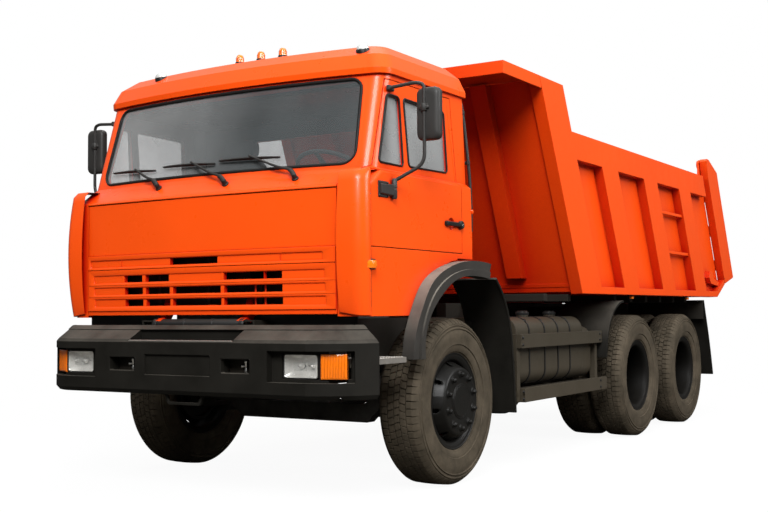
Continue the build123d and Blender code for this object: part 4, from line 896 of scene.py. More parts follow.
def bumper_line(z):
    """Left half of the bumper's outline at a height between its front edge and its top, mm."""
    low, high = BUMPER_LEVELS
    t = (min(max(z, low), high) - low) / (high - low)
    rows = []
    for ends in BUMPER_ENDS:
        a, m, e, last = [Vector(p) for p in ends]
        rows.append([a * (1 - w) * (1 - 2 * w) + m * 4 * w * (1 - w) + e * w * (2 * w - 1) for w in span(0, 1, 14)]
                    + [last])
    return [p * (1 - t) + q * t for p, q in zip(*rows)]


def build_bumper_top():
    """Turned-up lip along the bumper's top, its closed ends, and the tread edge of its middle step."""
    lip, tread = Build(), Build()
    half = bumper_line(1000)
    full = [Vector((-p.x, p.y)) for p in half[::-1]] + [Vector((x, half[0].y)) for x in range(-840, 841, 60)] + half
    rings = []
    for k, here in enumerate(full):
        ring = []
        for z, proud in ((983, 0.6), (987, 7), (1006, 7), (1011, 3), (1012, -8), (1008, -30), (985, -30)):
            level = bumper_line(z)
            if abs(here.x) <= 899:
                base = Vector((here.x, level[0].y))
            elif here.x > 0:
                base = level[k - len(full) + len(half)]
            else:
                base = level[len(half) - 1 - k] * Vector((-1, 1))
            ring.append(P(*(base + outward(full, k) * proud), z))
        rings.append(ring)
    lip.rings(rings)
    ends = [(918, 0.2), *((z, 0.8) for z in (930, 950, 970, 990, 1008)), (1009, -4), (1009, -46), (925, -60)]
    for _, s in SIDES:
        rings = []
        for k in range(len(half)):
            spots = [(bumper_line(z)[k] + outward(bumper_line(z), k) * proud, z) for z, proud in ends]
            rings.append([P(s * spot.x, spot.y, z) for spot, z in spots])
        lip.rings(rings)
    lip.piece("bumper_lip", "plastic", "chassis", "black_plastic", 35)
    tread.block(-386, 419, -1293.9, -1276, 916.5, 922.5, 0.0015)
    for k in range(40):
        tread.block(-380 + 20 * k, -369 + 20 * k, -1293.5, -1278, 922, 926, 0.001)
    tread.piece("bumper_step_edge", "zinc", "chassis", "galvanised")


GUIDE_X = 1002            # where an air guide starts on the cab's front


def guide_swell(z):
    return max(0.0, 1 - ((z - 1470) / 415) ** 2)


def guide_ring(level):
    """Closed outline of the left air guide at a level, (x, y, z)."""
    swell = guide_swell(level)
    proud, side_x, r = 12 + 32 * swell, 1155 + 22 * swell, 78
    front, wing = cab_front(GUIDE_X, min(level, SIDE_TOP)) - proud, -1050 - proud
    path = [(GUIDE_X + (side_x - r - GUIDE_X) * w, front + (wing - front) * w * (0.6 + 0.4 * w))
            for w in span(0, 1, 4)]
    path += [(side_x - r + r * math.sin(a), wing + r - r * math.cos(a)) for a in span(0, math.pi / 2, 8)[1:]]
    end = (1153.5, -974)
    path += [((side_x + end[0]) / 2 + 2, (wing + r + end[1]) / 2), end]
    back = [Vector(p) - outward(path, k) * 5 for k, p in enumerate(path)]
    top = max(0.0, (level - 1868) / 12)
    loop = []
    for x, y in path + back[::-1]:
        z = max(level, 1083 - 23 * (x - GUIDE_X) / 152) if level < 1090 else level
        loop.append((x - 3 * top, y + 26 * top * (1 if y < -1000 else 0.4), z))
    return loop


def build_corner_panels():
    """The curved air guides that stand off the cab's front corners."""
    levels = [guide_ring(level) for level in span(1064, 1880, 26)]
    for side, s in SIDES:
        b, rivet = Build(), Build()
        b.rings([[P(s * x, y, z) for x, y, z in ring] for ring in levels])
        cap = []
        for z, back_off in ((1874, 0), (1880, 14), (1884, 44)):
            row = []
            for x in span(1003, 1140, 8):
                edge, skin = cab_front(x, SIDE_TOP) + (7 if x < 1100 else 2), cab_front(x, 1884) + 6
                row.append(P(s * x, min(edge + back_off, skin) if z < 1884 else skin, z))
            cap.append(row)
        b.rings(cap, closed=False, ends=False)
        b.piece(f"corner_guide_{side}", "orange", "cab", "orange_paint", 40)
        for z in (1740.2, 1198.5):
            dome(rivet, P(s * (1155 + 14 * guide_swell(z)), -1001, z), (s * 0.9, -0.35, 0), 0.0075, 0.0035)
        rivet.piece(f"corner_guide_rivets_{side}", "chrome", "cab", "galvanised", 40)


def build_front():
    """Radiator screen behind the grille, cab pivot tube, bumper rims and tow pins."""
    core, tube_part, bits, tow = Build(), Build(), Build(), Build()
    for k in range(46):
        core.block(-700, 700, -1016, -1008, 1112 + 7.5 * k, 1115.2 + 7.5 * k)
    core.block(-720, 720, -1008, -1004, 1100, 1470, 0.001)
    for x in (-720, -400, 0, 400, 700):
        core.block(x, x + 20, -1020, -1006, 1100, 1470, 0.002)
    core.piece("radiator_screen", "satin_black", "cab", "black_paint")
    tube_part.lathe([(0.0, 0.0), (0.0, 0.033), (0.004, 0.036), (0.700, 0.036), (0.704, 0.033), (0.704, 0.0)], 36,
                    turned(P(-352, -1078, 1012), (1, 0, 0)))
    for x in (-350, -120, 100, 330):
        tube_part.lathe([(-0.014, 0.030), (-0.014, 0.0385), (0.014, 0.0385), (0.014, 0.030)], 36,
                        turned(P(x, -1078, 1012), (1, 0, 0)))
    tube_part.piece("cab_pivot_tube", "satin_black", "cab", "black_paint", 40)
    for x, z in ((-441, 691), (441, 691), (444, 866)):
        dome(bits, P(x, -1291.0, z), (0, -1, 0), 0.0095, 0.0030)
    for _, s in SIDES:
        tow.lathe([(0.0, 0.0), (0.0, 0.011), (0.012, 0.0125), (0.022, 0.009), (0.050, 0.009), (0.056, 0.0125),
                   (0.070, 0.0125), (0.076, 0.009), (0.078, 0.0)], 20, turned(P(s * 440 + 22, -1216, 742), (0, 0, 1)))
        tow.lathe([(0.0, 0.0), (0.002, 0.008), (0.012, 0.012), (0.022, 0.008), (0.030, 0.006), (0.034, 0.0)], 18,
                  turned(P(s * 440 - 18, -1216, 778), (1, 0, 0)))
        bits.rings(rect_loops(s * 440, 781, ((216, 88, 11, -1290), (215, 87, 10, -1293.8), (212, 84, 9, -1293.6),
                                             (207, 79, 8, -1291), (205, 77, 7, -1262))), ends=False)
    bits.rings(rect_loops(0, 779, ((516, 126, 8, -1290), (515, 125, 7, -1293.8), (511, 121, 6, -1293.4),
                                   (507, 117, 5, -1281)), 4), ends=False)
    bits.piece("bumper_trim", "plastic", "chassis", "black_plastic", 40)
    tow.piece("tow_pins", "chrome", "chassis", "galvanised", 40)


# ------------------------------------------------------------------ lamps

def build_headlamps():
    case, bowl, cover = Build(), Build(), Build()
    w, h, cz = 241.6, 139.6, 786
    for _, s in SIDES:
        cx = s * 856
        case.rings(rect_loops(cx, cz, ((w - 40, h - 30, 30, -1181), (w, h, 20, -1196), (w, h, 20, -1233),
                                       (w - 3, h - 3, 19, -1237.5), (w - 11, h - 11, 16, -1238),
                                       (w - 15, h - 15, 14, -1235), (w - 15, h - 15, 14, -1228))), ends=False)
        case.rings(rect_loops(cx, cz, ((w - 40, h - 30, 30, -1181), (w - 42, h - 32, 29, -1182))))
        bowl.rings([rect_loop(cx - s * 10 * (1 - share), cz, (w - 15) * share, (h - 15) * share,
                              14 + 26 * (1 - share) * share, y) for share, y in
                    ((1.0, -1229), (0.93, -1220), (0.8, -1209), (0.6, -1199), (0.38, -1193), (0.16, -1190))],
                   ends=False)
        for dx, r in ((-14, 0.017), (66, 0.012)):
            dome(bowl, P(cx + s * dx, -1199, cz + 2), (0, -1, 0), r, 0.026)
        loops = [rect_loop(cx, cz, (w - 15.4) * share, (h - 15.4) * share, 13.6 * share, y) for share, y in
                 ((1.0, -1229.5), (1.0, -1233.5), (0.97, -1236.4), (0.75, -1237.4), (0.4, -1237.9))]
        cover.rings(loops, ends=False)
        cover.rings([loops[-1], rect_loop(cx, cz, 4, 3, 1, -1238)])
    case.piece("headlamp_cases", "satin_black", "chassis", "black_plastic", 40, "headlamps")
    bowl.piece("headlamp_reflectors", "reflector", "chassis", "galvanised", 50)
    cover.piece("headlamp_glass", "lamp_glass", "chassis", "lamp_clear", 50)


def build_indicators():
    """Amber corner lamps: a clear amber cover over a stepped reflector."""
    cover, inner = Build(), Build()
    for _, s in SIDES:
        def at(t, depth, z):
            return P(s * (988.5 + 133 * t - depth * 0.425), -1233.7 + 62.5 * t + depth * 0.905, z)

        rings = []
        for depth, inset in ((52, 0), (8, 0), (2.5, 1.5), (0.2, 5)):
            t0, t1, z0, z1 = inset / 147, 1 - inset / 147, 716.3 + inset, 855.7 - inset
            t, z = (t0 + t1) / 2, (z0 + z1) / 2
            rings.append([at(a, depth, b) for a, b in ((t0, z0), (t, z0), (t1, z0), (t1, z), (t1, z1), (t, z1),
                                                       (t0, z1), (t0, z))])
        cover.rings(rings)
        for t in span(0.08, 0.92, 8):
            inner.rings([[at(t - 0.035, 0.1, z), at(t, -1.4, z), at(t + 0.035, 0.1, z), at(t, 3, z)]
                         for z in (724, 786, 848)])
    cover.piece("indicator_covers", "amber", "chassis", "lamp_amber", 40, "indicators")
    inner.piece("indicator_flutes", "amber", "chassis", "lamp_amber", 30)


# Roof, one row per level: height, front at the middle, bow, half width, corner
ROOF_ROWS = [(2510, -866, 96, 1118, 108), (2600, -822, 90, 1082, 108), (2668, -728, 80, 1010, 108),
             (2712, -540, 66, 840, 108)]


def roof_height(x, y):
    """Height of the roof's front slope at a place, mm."""
    last = ROOF_ROWS[0][0]
    for low, high in zip(ROOF_ROWS, ROOF_ROWS[1:]):
        for t in span(0, 1, 24)[1:]:
            z, front, bow, half, corner = between(low, high, t)
            reach = half - corner
            edge = front + bow * (x / reach) ** 2 if abs(x) <= reach else front + bow + corner * 0.3
            if edge > y or abs(x) > half:
                return last
            last = z
    return last


def build_roof_lamps():
    amber, clear, base = Build(), Build(), Build()
    for x in (-52, 120, 293):
        up = turned(P(x, -640, 2681), (0, 0, 1))
        base.lathe([(-0.004, 0.0), (-0.004, 0.031), (0.010, 0.031), (0.014, 0.028), (0.014, 0.0)], 24, up)
        amber.lathe([(0.013, 0), (0.013, 0.0265), (0.042, 0.0245), (0.055, 0.0205), (0.062, 0.013), (0.065, 0)], 24, up)
        for t in (0.020, 0.028, 0.036):
            amber.lathe([(t, 0.024), (t + 0.002, 0.0272), (t + 0.004, 0.024)], 24, up)
    for x, y in ((-672, -706), (925, -690)):
        up = turned(P(x, y, roof_height(x, y)), (0, -0.2425, 0.9701))
        base.lathe([(-0.026, 0.0), (-0.026, 0.043), (0.006, 0.043), (0.011, 0.040), (0.011, 0.0)], 28, up)
        clear.lathe([(0.009, 0.0), (0.009, 0.0385), (0.019, 0.0375), (0.029, 0.031), (0.036, 0.018), (0.038, 0.0)],
                    28, up)
    amber.piece("roof_lamp_caps", "amber", "cab", "lamp_amber", 40, "roof_lamps")
    clear.piece("roof_lamp_wedges", "lamp", "cab", "lamp_clear", 35)
    base.piece("roof_lamp_bases", "satin_black", "cab", "black_plastic", 40)


def build_tail_lamps():
    """Lamp clusters with red, amber and clear fields, and their arms."""
    case, red, amber, clear = Build(), Build(), Build(), Build()
    for _, s in SIDES:
        case.block(s * 700, s * 1040, 5440, 5484, 985, 1085, 0.006)
        case.block(s * 441.3, s * 720, 5450, 5490, 1010, 1060, 0.004)
        for x0, x1, build in ((704, 800, clear), (803, 912, amber), (915, 1036, red)):
            build.block(s * x0, s * x1, 5484, 5500, 990, 1080, 0.004)
        for x in (712, 1028):
            dome(case, P(s * x, 5499.5, 1074), (0, 1, 0), 0.005, 0.0005)
    case.piece("tail_lamp_cases", "satin_black", "chassis", "black_plastic", 30, "tail_lamps")
    for word, mat, build in (("red", "red", red), ("amber", "amber", amber), ("clear", "lamp", clear)):
        build.piece(f"tail_lamp_{word}", mat, "chassis", f"lamp_{word}", 30)


# ------------------------------------------------------------------ mirrors and doors

def build_mirrors():
    for side, s in SIDES:
        b, face = Build(), Build()
        bar = corner_path(mm([(s * 1112, -700, 2388), (s * 1280, -684, 2404), (s * 1330, -672, 2392),
                              (s * 1330, -672, 1930), (s * 1168, -732, 1838)]), 0.06, 8)
        tube(b, bar, 0.0105, 14)
        b.rings(rect_loops(s * 1345, 2221, ((90, 240, 40, -668), (126, 284, 42, -664.5), (142, 300, 38, -658),
                                            (150, 308, 36, -646), (150, 308, 36, -622), (147, 305, 34, -615),
                                            (136, 294, 30, -614)), 6))
        face.rings(rect_loops(s * 1345, 2221, ((134, 292, 29, -616), (134, 292, 29, -613.2), (130, 288, 27, -612.6)),
                              6))
        b.lathe([(-0.022, 0.0), (-0.022, 0.0175), (-0.018, 0.0205), (0.018, 0.0205), (0.022, 0.0175), (0.022, 0.0)],
                22, turned(P(s * 1330, -672, 2256), (0, 0, 1)))
        for dx in (-26, 26):
            dome(b, P(s * 1330 + dx, -676, 2256), (0, -1, 0), 0.008, 0.006)
        b.block(s * 1302, s * 1358, -683, -662, 2246, 2266, 0.003)
        b.block(s * 1150.3, s * 1156, -891, -790, 1734, 1826, 0.002)
        b.rings([[P(s * x, y, z) for x, z in ((1150, 1744), (outer, low), (outer, high), (1150, 1816))]
                 for y, outer, low, high in ((-880, 1168, 1756, 1804), (-752, 1172, 1750, 1810))])
        b.lathe([(-0.004, 0.0), (-0.004, 0.012), (0.004, 0.016), (0.050, 0.0165), (0.053, 0.0135), (0.059, 0.0135),
                 (0.062, 0.0165), (0.106, 0.016), (0.112, 0.012), (0.118, 0.0)], 22,
                turned(P(s * 1166, -738, 1734), (0, 0, 1)))
        for y in (-883, -796):
            for z in (1742, 1818):
                bolt(b, P(s * 1156, y, z), (s, 0, 0), 0.0055, 0.004)
        b.block(s * 1103.5, s * 1124, -722, -656, 2372, 2404, 0.004)
        b.lathe([(-0.004, 0.0), (-0.004, 0.013), (0.016, 0.013), (0.019, 0.009), (0.019, 0.0)], 18,
                turned(P(s * 1112, -700, 2388), (s, 0, 0)))
        b.piece(f"mirror_body_{side}", "mirror_black", f"{side}_door", "black_plastic", 40, f"mirror_{side}")
        face.piece(f"mirror_glass_{side}", "mirror", f"{side}_door", "glass", 30)


# Corners of the quarter light and of the door's window, (y, z)
DOOR_WINDOWS = ([(-822, 1940), (-712, 2356), (-574, 2356), (-546, 1940)],
                [(-486, 1946), (-530, 2356), (-30, 2346), (-4, 1956)])


def window_path(points, inset, s, lift):
    """A window's outline with rounded corners on the cab's side."""
    middle_y, middle_z = sum(p[0] for p in points) / 4, sum(p[1] for p in points) / 4
    moved = [(y + math.copysign(inset, middle_y - y), z + math.copysign(inset, middle_z - z)) for y, z in points]
    spots = mm([(s * (cab_side(z) + lift), y, z) for y, z in moved])
    mid = (spots[0] + spots[-1]) / 2
    return corner_path([mid] + spots + [mid], 0.028, 6)


def corner_rings(s, line, section):
    """A section (out, z) swept round the cab's corner through (x, y)."""
    rings = []
    for x, y in line:
        n = Vector((x - 1050, y + 975, 0)).normalized()
        rings.append([P(s * (x + n.x * out), y + n.y * out, z) for out, z in section])
    return rings


def build_door_trim():
    """Window rubbers, handle, lock, side lamp, a dark strip of painted shade in the side seam, and creases of each
    side.
    """
    for side, s in SIDES:
        door = f"{side}_door"
        rubber, handle, base, lock, lamp, line, crease = [Build() for _ in range(7)]
        for outline in DOOR_WINDOWS:
            path = window_path(outline, 2, s, 0.5)
            tube(rubber, path[:-1] + [path[0]], 0.0075, 10, 0.75)
        rubber.piece(f"window_rubber_{side}", "rubber", door, "rubber", 60)
        handle.block(s * 1157, s * 1171, -110, 78, 1617, 1645, 0.005)
        handle.block(s * 1142.5, s * 1170, -112, -80, 1615, 1647, 0.005)
        barrel = turned(P(s * 1144, 88, 1631), (s, 0, 0))
        handle.lathe([(0.0, 0.0), (0.0, 0.027), (0.022, 0.026), (0.028, 0.022), (0.028, 0.012), (0.026, 0.010),
                      (0.026, 0.0)], 26, barrel)
        lock.lathe([(0.0255, 0.0), (0.0255, 0.0085), (0.0285, 0.0080), (0.0292, 0.006), (0.0292, 0.0)], 20, barrel)
        base.rings(corner_rings(s, ((1148, -1042), (1164, -1020), (1171, -996), (1166, -962)),
                                ((0, 1316), (9, 1318), (11, 1346), (9, 1375), (0, 1378))))
        lamp.rings(corner_rings(s, ((1155, -1031), (1166, -1014), (1171, -992), (1167, -965)),
                                ((8, 1322), (16, 1326), (19, 1346), (16, 1367), (8, 1371))))
        lamp.piece(f"side_lamp_{side}", "amber", "cab", "lamp_amber", 35)
        handle.piece(f"door_handle_{side}", "satin_black", door, "black_plastic", 35)
        base.piece(f"door_handle_corner_{side}", "satin_black", "cab", "black_plastic", 35)
        lock.piece(f"door_lock_{side}", "chrome", door, "galvanised", 35)
        # A thin dark-red strip in the seam by the door: painted shade in the gap.
        line.rings([[P(s * (1150.2 + d), -968 + w, z) for d, w in ((0, -1.6), (0.5, 0), (0, 1.6), (-1, 0))]
                    for z in (1112, 1446)])
        line.piece(f"side_seam_shade_{side}", "seam", "cab", "orange_paint")
        for spots, depth, radius in (([(12, 2392), (52, 2180), (84, 1990), (96, 1915)], 2, 0.0045),
                                     ([(-934, 1893), (-480, 1897), (60, 1905), (96, 1915)], 2.5, 0.0050)):
            tube(crease, tube_path(mm([(s * (cab_side(z) - depth), y, z) for y, z in spots]), 6), radius, 8)
        crease.piece(f"door_crease_{side}", "orange", door, "orange_paint", 60)


# Air pipe down the cab's left rear edge, (x, y, z) from below
REAR_PIPE = [(1140, 262, 1600), (1140, 262, 1720), (1134, 258, 1950), (1112, 254, 2200), (1092, 246, 2400),
             (1082, 236, 2462)]


def build_cab_rear():
    """Air pipe down the cab's rear edge with its clips and drain."""
    b, knob = Build(), Build()
    tube(b, tube_path(mm(REAR_PIPE[::-1]), 8), 0.0105, 12)
    low = REAR_PIPE[:1] + REAR_PIPE[2:5]
    for z in (2380, 2050, 1760):
        x, y = [piecewise([(p[2], p[axis]) for p in low], z) for axis in (0, 1)]
        b.lathe([(-0.012, 0.0), (-0.012, 0.0145), (0.012, 0.0145), (0.012, 0.0)], 16, turned(P(x, y, z), (0, 0.03, 1)))
        b.block(x - 40, x - 6, y - 8, y + 8, z - 10, z + 10, 0.002)
    knob.lathe([(0.0, 0.0), (0.0, 0.010), (0.006, 0.013), (0.020, 0.013), (0.026, 0.009), (0.026, 0.0)], 18,
               turned(P(1148, 258, 1716), (0, -0.3, 1)))
    tube(knob, mm([(1141, 262, 1604), (1141, 264, 1500), (1138, 262, 1450)]), 0.0045, 8)
    b.piece("rear_pipe", "satin_black", "cab", "black_paint", 50)
    knob.piece("rear_pipe_drain", "orange", "cab", "orange_paint", 40)


# ------------------------------------------------------------------ inside the cab

SEAT_X, FLOOR = 620, 1440


def cushion(place, angle, w, d, h, channels):
    """A crowned closed pad tilted at its place: w by d, h thick, with sewn channels across it."""
    rings = []
    for a in span(-math.pi / 2, math.pi / 2, 8):
        swell = 0.86 + 0.14 * (math.cos(a) ** 0.45 if abs(a) < 1.5 else 0.0)
        ring = []
        for k in range(56):
            t = TURN * k / 56
            c, s = math.cos(t), math.sin(t)
            q = (abs(c) ** 5 + abs(s) ** 5) ** -0.2 * swell * (1 - 0.03 * (1 - abs(math.cos(2 * t)) ** 2))
            ring.append((c * q * w / 2, s * q * d / 2, h / 2 + math.sin(a) * h / 2))
        rings.append(ring)
    top = rings[-1]
    for share in (0.9, 0.8, 0.68, 0.55, 0.42, 0.28, 0.14, 0.03):
        ring = []
        for x, y, _ in top:
            groove = sum(0.007 * math.exp(-((y * share - c * d) / 0.007) ** 2) for c in channels)
            ring.append((x * share, y * share, h + 0.05 * h * (1 - share ** 2) - groove * (1 - share ** 6)))
        rings.append(ring)
    build = Build()
    build.rings(rings, matrix=Matrix.Translation(place) @ Matrix.Rotation(math.radians(angle), 4, "X"))
    return build


def build_seats():
    base = Build()
    for side, s in SIDES:
        x = s * SEAT_X
        pad = cushion(P(x, -200, FLOOR + 190), -3, 0.450, 0.430, 0.135, (-0.2, 0.05, 0.3))
        back = cushion(P(x, 122, FLOOR + 430), 87, 0.450, 0.640, 0.090, (-0.3, -0.1, 0.1))
        head = cushion(P(x, 118, FLOOR + 820), 90, 0.270, 0.130, 0.080, ())
        for build, word in ((pad, "seat_pad"), (back, "seat_back"), (head, "seat_head")):
            obj = build.piece(f"{word}_{side}", "cloth", "cab", "seat_fabric", 50)
            if word == "seat_pad" and s == 1:
                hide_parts("seats")
        base.block(x - 190, x + 190, -380, -20, 1441, 1625, 0.01)
        for dx in (-200, 186):
            base.block(x + dx, x + dx + 14, -400, 20, 1441, 1465, 0.002)
        for dx in (-45, 45):
            tube(base, mm([(x + dx, 112, FLOOR + 830), (x + dx, 112, FLOOR + 720)]), 0.006, 10)
    base.piece("seat_bases", "trim", "cab", "black_plastic", 30)


def build_helm():
    """Steering wheel with a padded rim, three spokes, hub and column."""
    b = Build()
    tilt = Matrix.Translation(P(SEAT_X, -560, 1940)) @ Matrix.Rotation(math.radians(-28), 4, "X")
    tube(b, [tilt @ Vector((*polar(0.230, TURN * k / 56), 0)) for k in range(57)], 0.0135, 12)
    for a in (0.0, 180.0, 270.0):
        spoke = ((0.03, -0.012), (0.09, -0.010), (0.16, -0.004), (0.226, 0.0))
        tube(b, [tilt @ Vector((*polar(r, math.radians(a)), z)) for r, z in spoke], [0.017, 0.016, 0.013, 0.010],
             10, 0.45)
    b.lathe([(-0.06, 0.0), (-0.06, 0.030), (-0.03, 0.045), (-0.008, 0.060), (0.006, 0.062), (0.012, 0.055),
             (0.014, 0.0)], 32, tilt @ Matrix.Rotation(math.radians(-90), 4, "Y"))
    tube(b, [tilt @ Vector((0, 0, z)) for z in (-0.03, -0.29, -0.55)], [0.026, 0.022, 0.022], 16)
    b.piece("helm", "trim", "helm", "black_plastic", 50, "steering_wheel")


def build_dash():
    """Shelf with a hooded instrument panel, vents and dials."""
    b, dials = Build(), Build()
    b.rings([[P(x, y, z + lift * share) for y, z, share in
              ((-960, 1701, 0), (-958, 1835, 0), (-910, 1850, 1), (-785, 1842, 1), (-761, 1800, 0.3), (-765, 1701, 0))]
             for x, lift in ((-1050, 0), (-900, 10), (250, 10), (340, 75), (620, 90), (900, 75), (980, 10), (1050, 0))])
    for x in (-800, -350, 100):
        for k in range(5):
            b.block(x, x + 160, -770, -757, 1742 + 11 * k, 1747 + 11 * k, 0.001)
    for x in (460, 620, 780):
        dials.lathe([(0.0, 0.052), (0.004, 0.052), (0.006, 0.047), (0.003, 0.044), (0.003, 0.0)], 28,
                    turned(P(x, -763, 1800), (0, 1, 0)))
    b.piece("dash_shelf", "trim", "cab", "black_plastic", 35, "dashboard")
    dials.piece("dash_dials", "chrome", "cab", "black_plastic", 40)


# ------------------------------------------------------------------ sides of the chassis

TANK_X, TANK_Z = 841, 795


def build_tank_fittings():
    straps, caps = Build(), Build()
    for y in (1143, 1413, 1657, 1889):
        outline = [(TANK_X + u, TANK_Z + v) for u, v in round_rect(594, 484, 102, 8)]
        straps.rings([[P(x + math.copysign(grow, x - TANK_X) * 0.7, y + dy, z + math.copysign(grow, z - TANK_Z) * 0.7)
                       for x, z in outline] for dy, grow in ((-8, 0), (-8, 4), (8, 4), (8, 0))], ends=False)
        bolt(straps, P(1100, y, 1012), (0.5, 0, 0.8), 0.009, 0.01)
    for y in (1540, 2045):
        caps.lathe([(0.0, 0.0), (0.0, 0.050), (0.006, 0.052), (0.020, 0.052), (0.024, 0.048), (0.024, 0.012),
                    (0.030, 0.010), (0.030, 0.0)], 32, turned(P(900, y, 1050), (0, 0, 1)))
        caps.block(858, 942, y - 7, y + 7, 1072, 1082, 0.003)
    straps.piece("tank_straps", "satin_black", "chassis", "black_paint", 40)
    caps.piece("tank_caps", "satin_black", "chassis", "black_paint", 40)


def build_small_fittings():
    """Raised teeth of the step plates and bolts of the side guards."""
    teeth, bolts = Build(), Build()
    for _, s in SIDES:
        for i in range(9):
            for j in range(11):
                y = -972 + j * 29 + (14 if i % 2 else 0)
                if y <= -675:
                    teeth.lathe([(0.0, 0.0098), (0.0038, 0.0072), (0.0042, 0.0058), (0.0008, 0.0046), (0.0008, 0.0)],
                                10, turned(P(s * (968 + i * 25.5), y, 821.6), (0, 0, 1)))
        for y in (902, 2360):
            for z in (470, 520, 846, 894):
                bolt(bolts, P(s * 1200, y, z), (s, 0, 0), 0.009, 0.007)
    teeth.piece("step_teeth", "zinc", "chassis", "galvanised", 40)
    bolts.piece("guard_bolts", "satin_black", "chassis", "black_paint", 30)


def build_under_body():
    """Cross bearers under the floor, marker lamps, the tank's tray and the wall behind the rear wheels."""
    bearers, lamps, bases, tray = Build(), Build(), Build(), Build()
    for _, s in SIDES:
        for y in (1500, 1950, 2960, 3360, 3760, 4160, 4560, 4960):
            bearers.block(s * 468, s * 1115, y - 30, y + 30, 1152, 1208.5, 0.003)
        for y in (3104, 4689):
            lamps.block(s * 1196, s * 1222, y - 24, y + 24, 1177, 1201, 0.003)
            bases.block(s * 1180, s * 1197, y - 30, y + 30, 1172, 1209.5, 0.002)
        tray.block(s * 446, s * 1236, 5139, 5144, 985, 1158, 0.001)
        tray.block(s * 446, s * 1236, 5128, 5144, 1154, 1160, 0.001)
        for x in (600, 840, 1080):
            bolt(tray, P(s * x, 5139, 1120), (0, -1, 0), 0.009, 0.006)
    for y0, y1 in ((975, 1010), (1600, 1640), (2240, 2275)):
        tray.block(448, 1150, y0, y1, 488, 537.5, 0.003)
    for x0, x1 in ((1080, 1148), (780, 850)):
        tray.block(x0, x1, 940, 2318, 496, 537.5, 0.004)
    bearers.piece("floor_bearers", "black", "tipper", "black_paint")
    lamps.piece("sill_markers", "amber", "tipper", "lamp_amber", 30)
    bases.piece("sill_marker_bases", "satin_black", "tipper", "black_plastic")
    tray.piece("tank_tray", "black", "chassis", "black_paint")


def build_mudguard_edges():
    """Edge rolls and fixing bolts of the mudguards."""
    b = Build()
    arch = [(420, 1290), (520, 1190), (590, 1080), (640, 940), (664, 800), (684, 600), (700, 395)]
    for _, s in SIDES:
        for x in (903, 1232):
            tube(b, tube_path(mm([(s * x, y + 3, z + 3) for y, z in arch]), 8), 0.0085, 8)
        for x in (940, 1025, 1110, 1195):
            bolt(b, P(s * x, 682, 780), (0, 1, 0.1), 0.009, 0.006)
            bolt(b, P(s * x, 5292, 860), (0, 1, 0.3), 0.009, 0.006)
    b.piece("mudguard_edges", "plastic", "chassis", "black_plastic", 40)


# ------------------------------------------------------------------ stage, light and camera

def background_seen(nt):
    path = node(nt, "LightPath").outputs
    return maths(nt, "MAXIMUM", path["Is Camera Ray"], path["Is Transmission Ray"])


def build_floor():
    """A pale floor that keeps the object's shadow and fades to white; the light it throws back is dim."""
    mesh = bpy.data.meshes.new("floor")
    size = 60
    mesh.from_pydata([(-size, -size, 0), (size, -size, 0), (size, size, 0), (-size, size, 0)], [], [(0, 1, 2, 3)])
    floor = link_object("floor", mesh)
    floor.location.z = CAD_BOX[0][2] - 0.001
    mat, nt, bsdf, out = new_material("floor_pale", Base_Color=(0.86, 0.86, 0.86), Roughness=0.9,
                                      Specular_IOR_Level=0.1)
    length = node(nt, "VectorMath", operation="LENGTH")
    nt.links.new(node(nt, "NewGeometry").outputs["Position"], length.inputs[0])
    far = ramp(nt, maths(nt, "DIVIDE", length.outputs["Value"], 9.0, clamp=True), [(0.2, 0.94), (0.75, 1)])
    glow = node(nt, "Emission", Color=(1, 1, 1), Strength=1.0)
    dark = node(nt, "BsdfDiffuse", Color=(0.10, 0.095, 0.085))
    both = mix_shader(nt, background_seen(nt), dark, mix_shader(nt, far, bsdf, glow))
    nt.links.new(both.outputs[0], out.inputs[0])
    mesh.materials.append(mat)


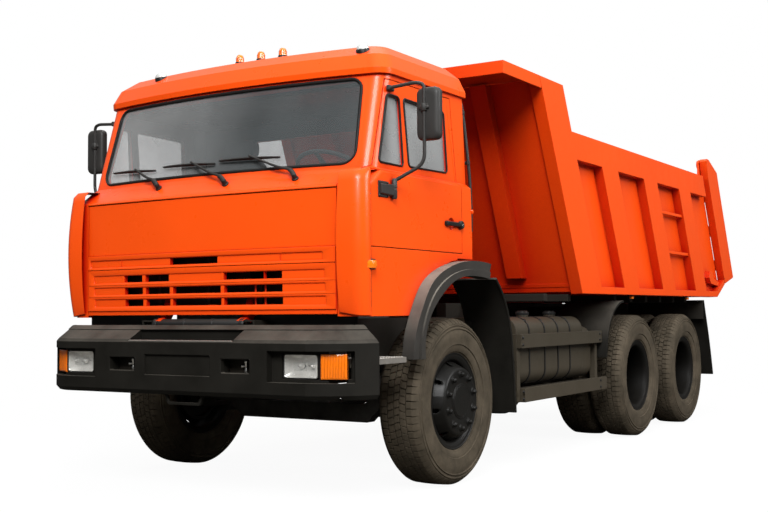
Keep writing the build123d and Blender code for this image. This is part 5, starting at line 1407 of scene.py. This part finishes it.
def build_world():
    """White where it is seen, a sky that darkens to the ground where it lights the object."""
    world = bpy.data.worlds.new("studio")
    bpy.context.scene.world = world
    world.use_nodes = True
    nt = world.node_tree
    nt.nodes.clear()
    height = axes(nt, node(nt, "TexCoord").outputs["Generated"])[2]
    shade = ramp(nt, height, [(0.0, 0.02), (0.04, 0.10), (0.22, 0.20), (0.5, 0.62), (1.0, 1.0)])
    sky = node(nt, "Background", Color=shade, Strength=0.85)
    white = node(nt, "Background", Color=(1, 1, 1), Strength=1.0)
    node(nt, "OutputWorld", Surface=mix_shader(nt, background_seen(nt), sky, white).outputs[0])


def area_light(name, place, aim, size, power):
    data = bpy.data.lights.new(name, "AREA")
    data.shape = "DISK"
    data.size = size
    data.energy = power
    obj = link_object(name, data)
    obj.location = place
    obj.rotation_euler = (Vector(aim) - Vector(place)).to_track_quat("-Z", "Y").to_euler()


def build_camera():
    """The photograph's camera, as fitted to it."""
    azimuth, elevation, roll = 0.5613, -0.0482, -0.0076
    focal_px, centre = 1119.03, (379.34, 257.73)
    width, height = 768, 512
    d = Vector((-math.sin(azimuth) * math.cos(elevation), math.cos(azimuth) * math.cos(elevation),
                -math.sin(elevation)))
    right = Vector((math.cos(azimuth), math.sin(azimuth), 0))
    up = right.cross(d)
    x_axis = math.cos(roll) * right + math.sin(roll) * up
    y_axis = -math.sin(roll) * right + math.cos(roll) * up
    data = bpy.data.cameras.new("camera")
    data.sensor_width = 36
    data.lens = focal_px * 36 / width
    data.shift_x = (width / 2 - centre[0]) / width
    data.shift_y = (centre[1] - height / 2) / width
    data.clip_end = 200
    obj = link_object("camera", data)
    matrix = Matrix((x_axis, y_axis, -d)).transposed().to_4x4()
    matrix.translation = P(4505.6, -6218.4, 1083.06)
    obj.matrix_world = matrix
    bpy.context.scene.camera = obj


for build_part in (build_tyres, build_wipers, build_screen, build_corner_panels, build_grille, build_bumper_top,
                   build_wheels, build_headlamps, build_indicators, build_roof_lamps, build_tail_lamps, build_mirrors,
                   build_door_trim, build_cab_rear, build_front, build_seats, build_helm, build_dash,
                   build_tank_fittings, build_small_fittings, build_under_body, build_mudguard_edges, build_floor,
                   build_world):
    build_part()
area_light("key", (6.0, -12.0, 9.0), (0, -1, 1.2), 6.0, 2300)
area_light("side", (12.0, 1.0, 7.5), (0, 0, 1.2), 6.0, 1300)
area_light("top", (0, 0, 12.0), (0, 0, 0), 8.0, 500)
build_camera()

bpy.context.scene.view_settings.view_transform = "Standard"
